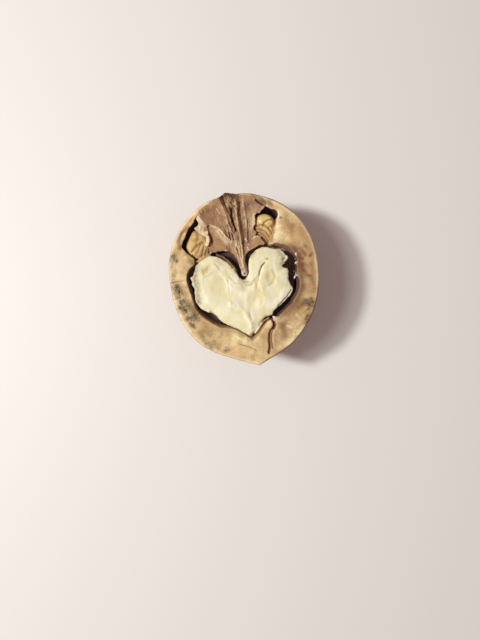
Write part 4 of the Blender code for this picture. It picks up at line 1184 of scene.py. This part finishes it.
class Painter:
    """Builds one material's nodes: each call adds a node and returns its socket.

    A share may be a socket, a number, or the name of a painted strength.
    """

    def __init__(self, name):
        self.material = bpy.data.materials.new(name)
        self.material.use_nodes = True
        self.tree = self.material.node_tree
        self.shader = self.tree.nodes["Principled BSDF"]
        coordinates = self.node("TexCoord").outputs["Object"]
        self.place = self.node("VectorMath", {0: coordinates, "Scale": 1 / MM}, operation="SCALE").outputs[0]

    def node(self, kind, inputs=None, **settings):
        made = self.tree.nodes.new("ShaderNode" + kind)
        for key, value in settings.items():
            setattr(made, key, value)
        for key, value in (inputs or {}).items():
            self.feed(made.inputs[key], value)
        return made

    def feed(self, target, value):
        """Links a socket, or sets a fixed value on the input itself."""
        if isinstance(value, str):
            value = self.node("Attribute", attribute_name=value).outputs["Fac"]
        if isinstance(value, bpy.types.NodeSocket):
            self.tree.links.new(value, target)
        else:
            target.default_value = value

    def noise(self, size, detail=3.0, roughness=0.55, stretch=None, place=None):
        """Noise between 0 and 1 whose lumps are about size millimetres apart."""
        place = place or self.place
        if stretch:
            place = self.node("VectorMath", {0: place, 1: stretch}, operation="MULTIPLY").outputs[0]
        inputs = {"Vector": place, "Scale": 1 / size, "Detail": detail, "Roughness": roughness}
        return self.node("TexNoise", inputs).outputs["Fac"]

    def span(self, value, low, high, start=0.0, end=1.0):
        inputs = {0: value, 1: low, 2: high, 3: start, 4: end}
        return self.node("MapRange", inputs, interpolation_type="SMOOTHSTEP").outputs[0]

    def times(self, first, *others):
        for other in others:
            first = self.node("Math", {0: first, 1: other}, operation="MULTIPLY").outputs[0]
        return first

    def polar(self, turn, reach):
        """Texture coordinates that follow the direction from a centre and the distance to it."""
        return self.node("CombineXYZ", {0: turn, 1: reach}).outputs[0]

    def mix(self, share, one, other):
        return self.node("MixRGB", {"Fac": share, "Color1": one, "Color2": other}).outputs[0]

    def blend(self, share, one, other):
        """A mix of two tones in 8-bit display values."""
        return self.mix(share, rgb(*one), rgb(*other))

    def coats(self, colour, *layers):
        """Lays tones over a colour, the last one topmost: share, tone in 8-bit display values."""
        for share, tone in layers:
            colour = self.mix(share, colour, rgb(*tone))
        return colour

    def bump(self, height, strength, distance, normal=None):
        inputs = {"Height": height, "Strength": strength, "Distance": distance * MM}
        if normal:
            inputs["Normal"] = normal
        return self.node("Bump", inputs).outputs[0]

    def finish(self, colour, roughness, normal, fixed):
        """Feeds the shader, where what is the same all over is set on its own sockets."""
        inputs = {"Base Color": colour, "Roughness": roughness, "Normal": normal, **fixed}
        for key, value in inputs.items():
            self.feed(self.shader.inputs[key], value)
        return self.material


def rgb(red, green, blue):
    """A colour from its 8-bit display values."""
    levels = [value / 255 for value in (red, green, blue)]
    return (*[v / 12.92 if v <= 0.04045 else ((v + 0.055) / 1.055) ** 2.4 for v in levels], 1.0)


def shell_material():
    p = Painter("split_wood")
    broad = p.noise(5.0, 3)
    blotch = p.noise(1.5, 4, 0.6)
    hue = p.noise(2.6, 4, 0.6)
    fine = p.noise(0.4, 3, 0.65)
    speck = p.noise(0.26, 2, 0.6)
    rays = p.noise(1.0, 5, 0.65, stretch=(1.2, 0.5, 1), place=p.polar(p.times("turn", 10.0), "reach"))
    mould = p.times("mould", p.span(p.noise(1.1, 4, 0.65), 0.32, 0.6, 0.35, 1.0))
    grains = p.span(p.noise(0.45, 3, 0.6), 0.42, 0.62)
    face = p.coats(
        p.blend(p.span(broad, 0.35, 0.62), (245, 227, 174), (223, 195, 142)),
        (p.span(blotch, 0.42, 0.7, 0.0, 0.6), (186, 148, 100)),
        (p.times(p.span(hue, 0.45, 0.64, 0.1, 0.5), "rosy"), (196, 146, 108)),
        # painted shade towards the split face's right and lower right
        (p.times("painted_side_shade", 0.8), (176, 138, 96)),
        (p.span(rays, 0.5, 0.68, 0.0, 0.35), (166, 122, 78)),
        (p.times("stain", p.span(hue, 0.34, 0.6, 0.62, 1.0)), (112, 66, 36)),
        (p.times("pale", p.span(blotch, 0.3, 0.6, 1.0, 0.5)), (246, 228, 188)),
        (p.times("edge", 0.5), (242, 226, 188)),
        (p.span(fine, 0.5, 0.75, 0.0, 0.35), (150, 112, 76)),
        (p.span(fine, 0.42, 0.25, 0.0, 0.25), (246, 230, 192)),
        (mould, (128, 106, 76)),
        (p.times(mould, grains), (74, 62, 46)),
        (p.times("mould", p.span(speck, 0.42, 0.3, 0.0, 0.7)), (198, 178, 146)),
    )
    wall = p.coats(
        p.blend(p.span(p.noise(0.8, 3, stretch=(1, 1, 3)), 0.3, 0.7), (122, 82, 76), (90, 60, 58)),
        # painted shade: darker towards the right, where the light falls on the wall
        ("painted_wall_shade", (72, 54, 52)),
        # painted light deep down in the opening
        ("deep", (160, 134, 142)),
        ("tan_wall", (204, 164, 118)),
    )
    back = p.coats(
        p.blend(p.span(p.noise(4.0, 4, stretch=(1, 0.4, 1)), 0.3, 0.7), (206, 164, 112), (160, 116, 74)),
        (p.span(blotch, 0.4, 0.7, 0.0, 0.5), (138, 98, 62)),
        (p.times("groove", 0.75), (98, 64, 42)),
        (p.span(fine, 0.35, 0.75, 0.0, 0.4), (120, 84, 54)),
    )
    colour = p.coats(
        p.mix("rim", p.mix("back", wall, back), face),
        # painted shade: a thin dark line of the back outside the split face
        (p.times("back_shade_line", 0.85), (92, 66, 46)),
        (p.times("shady_edge", 0.78), (118, 80, 58)),
        ("lip", (132, 84, 62)),
        # painted shade in the cracks, slits and creases
        ("dark", (76, 42, 32)),
        ("fleck", (222, 208, 196)),
    )
    bump = p.bump(blotch, 0.4, 0.12, p.bump(fine, 0.4, 0.05))
    return p.finish(colour, 0.7, bump, {"Specular IOR Level": 0.3})


def kernel_material():
    p = Painter("kernel_flesh_and_skin")
    broad = p.noise(4.0, 3)
    small = p.noise(0.9, 4, 0.6)
    fine = p.noise(0.25, 3, 0.6)
    speck = p.span(p.noise(0.6, 4, 0.7), 0.38, 0.62, 0.5, 0.9)
    flesh = p.coats(
        p.blend(p.span(broad, 0.35, 0.65), (234, 230, 198), (231, 223, 179)),
        (p.times("yellow", 0.8), (204, 180, 114)),
        (p.times("grey", speck), (154, 140, 106)),
        (p.span(small, 0.5, 0.75, 0.0, 0.2), (224, 212, 162)),
        ("bright", (252, 248, 222)),
        ("patch", (142, 98, 66)),
        # painted shade in the face's slits, and the thin skin line at its lifted edge
        ("line", (96, 72, 38)),
    )
    mottle = p.span(small, 0.3, 0.7)
    golden = p.coats(
        p.blend(mottle, (236, 210, 146), (212, 178, 114)),
        ("brown_skin", (178, 134, 82)),
        (p.times("groove", 0.68), (134, 88, 48)),
    )
    shadowed = p.blend(mottle, (150, 118, 90), (118, 90, 72))
    shadowed = p.mix("rolled", shadowed, p.blend("tip_side", (120, 82, 64), (176, 130, 98)))
    # the "cleft" tone is painted shade in the cleft under the septum
    # the "deep" tone is painted light deep in the gaps
    skin_tone = p.coats(p.mix("window", shadowed, golden), ("deep", (172, 146, 142)), ("cleft", (52, 32, 31)))
    colour = p.mix("flesh", skin_tone, flesh)
    bump = p.bump(small, 0.3, 0.12, p.bump(fine, 0.3, 0.04))
    dry = p.span("wet", 0.0, 1.0, 0.5, 0.22)
    roughness = p.node("Math", {0: dry, 1: p.times("flesh", 0.52)}, operation="MAXIMUM").outputs[0]
    return p.finish(colour, roughness, bump, {
        "Subsurface Weight": 0.12,
        "Subsurface Scale": 0.0008,
        "Subsurface Radius": (1.0, 0.8, 0.45),
        "Specular IOR Level": 0.4,
    })


def septum_material():
    p = Painter("septum_fibres")
    place = p.polar(p.times("fan_turn", 14.0), p.times("fan_reach", 0.3))
    strands = p.noise(0.3, 3, 0.6, place=place)
    streaks = p.noise(0.9, 3, 0.6, place=place)
    fine = p.noise(0.3, 3, 0.65)
    blotch = p.noise(1.8, 3)
    core = p.span("wing", 0.0, 1.0, 1.0, 0.3)
    upper = p.span("fan_reach", 8.0, 16.0, 0.35, 1.0)
    fibrous = p.blend(p.span(streaks, 0.3, 0.66), (202, 170, 128), (130, 94, 70))
    smooth = p.blend(p.span(blotch, 0.35, 0.65), (177, 142, 111), (148, 112, 88))
    colour = p.coats(
        p.mix(p.times("wing", 0.8), fibrous, smooth),
        (p.times("tan", 0.8), (182, 145, 99)),
        (p.times("red", 0.75), (128, 86, 66)),
        (p.times(p.span(strands, 0.44, 0.3, 0.0, 0.6), core), (216, 184, 142)),
        (p.times("pale", 0.9), (238, 215, 178)),
        (p.times(p.span(strands, 0.5, 0.64, 0.0, 0.85), core, upper), (88, 58, 42)),
        (p.span(fine, 0.5, 0.75, 0.0, 0.4), (120, 86, 64)),
        # painted shade in the septum's folds, slits and gaps and the flap's shadow
        ("dark", (66, 40, 32)),
        ("bead", (230, 208, 190)),
        # painted shade on the septum's lower parts
        (p.times("deep", 0.8), (84, 58, 48)),
    )
    bump = p.bump(fine, 0.5, 0.06, p.bump(strands, 0.8, 0.1))
    return p.finish(colour, 0.75, bump, {"Specular IOR Level": 0.22})


# The camera looks straight down on the split face, turned so that the stem end is at the upper left
CAMERA_TURN = math.radians(-10)
CAMERA_PLACE = (-2.79, -9.62, 136.5)
CAMERA_LENS = 28.0

# The floor and the soft light of the room
FLOOR_SIZE = 1.6
FLOOR_TONE = (231, 228, 226)
FLOOR_ROUGHNESS = 0.6
ROOM_TONE = (255, 226, 222)
ROOM_STRENGTH = 0.32

# The lights: name, direction on the photograph from its right in degrees, elevation, size, power
LIGHTS = (("window_light", 178.0, 48.7, 0.075, 2.45), ("window_glow", 180.5, 58.0, 0.13, 0.85))
LIGHT_DISTANCE = 0.6
LIGHT_COLOUR = (0.978, 1.0, 0.955)
LIGHT_TARGET = Vector((0, 0, 0.01))


def make_stage():
    half = FLOOR_SIZE / 2
    mesh = bpy.data.meshes.new("floor")
    corners = [(-half, -half, 0), (half, -half, 0), (half, half, 0), (-half, half, 0)]
    mesh.from_pydata(corners, [], [(0, 1, 2, 3)])
    floor = bpy.data.objects.new("floor", mesh)
    bpy.context.scene.collection.objects.link(floor)
    material = bpy.data.materials.new("floor_paper")
    material.use_nodes = True
    shader = material.node_tree.nodes["Principled BSDF"]
    shader.inputs["Base Color"].default_value = rgb(*FLOOR_TONE)
    shader.inputs["Roughness"].default_value = FLOOR_ROUGHNESS
    mesh.materials.append(material)


def make_light(name, place, size, power):
    light = bpy.data.lights.new(name, "AREA")
    light.shape = "DISK"
    light.size = size
    light.energy = power
    light.color = LIGHT_COLOUR
    obj = bpy.data.objects.new(name, light)
    obj.location = place
    obj.rotation_euler = (LIGHT_TARGET - obj.location).to_track_quat("-Z", "Y").to_euler()
    bpy.context.scene.collection.objects.link(obj)


def make_lights():
    """A small bright window on the left, with a softer glow above it."""
    for name, turn, lift, size, power in LIGHTS:
        turn, lift = math.radians(turn) + CAMERA_TURN, math.radians(lift)
        flat = math.cos(lift) * LIGHT_DISTANCE
        spot = (math.cos(turn) * flat, math.sin(turn) * flat, math.sin(lift) * LIGHT_DISTANCE)
        make_light(name, spot, size, power)
    world = bpy.data.worlds.new("soft_room")
    bpy.context.scene.world = world
    world.use_nodes = True
    sky = world.node_tree.nodes["Background"]
    sky.inputs["Color"].default_value = rgb(*ROOM_TONE)
    sky.inputs["Strength"].default_value = ROOM_STRENGTH


def make_camera():
    camera = bpy.data.cameras.new("camera")
    camera.lens = CAMERA_LENS
    camera.clip_start = 0.01
    obj = bpy.data.objects.new("camera", camera)
    obj.location = (Vector(CAMERA_PLACE) - Vector(SOLID_ORIGIN)) * MM
    obj.rotation_euler = (0, 0, CAMERA_TURN)
    bpy.context.scene.collection.objects.link(obj)
    bpy.context.scene.camera = obj


make_shell(shell_material())
make_kernel(kernel_material())
make_septum(septum_material())
make_stage()
make_lights()
make_camera()
bpy.context.scene.view_settings.view_transform = "Standard"
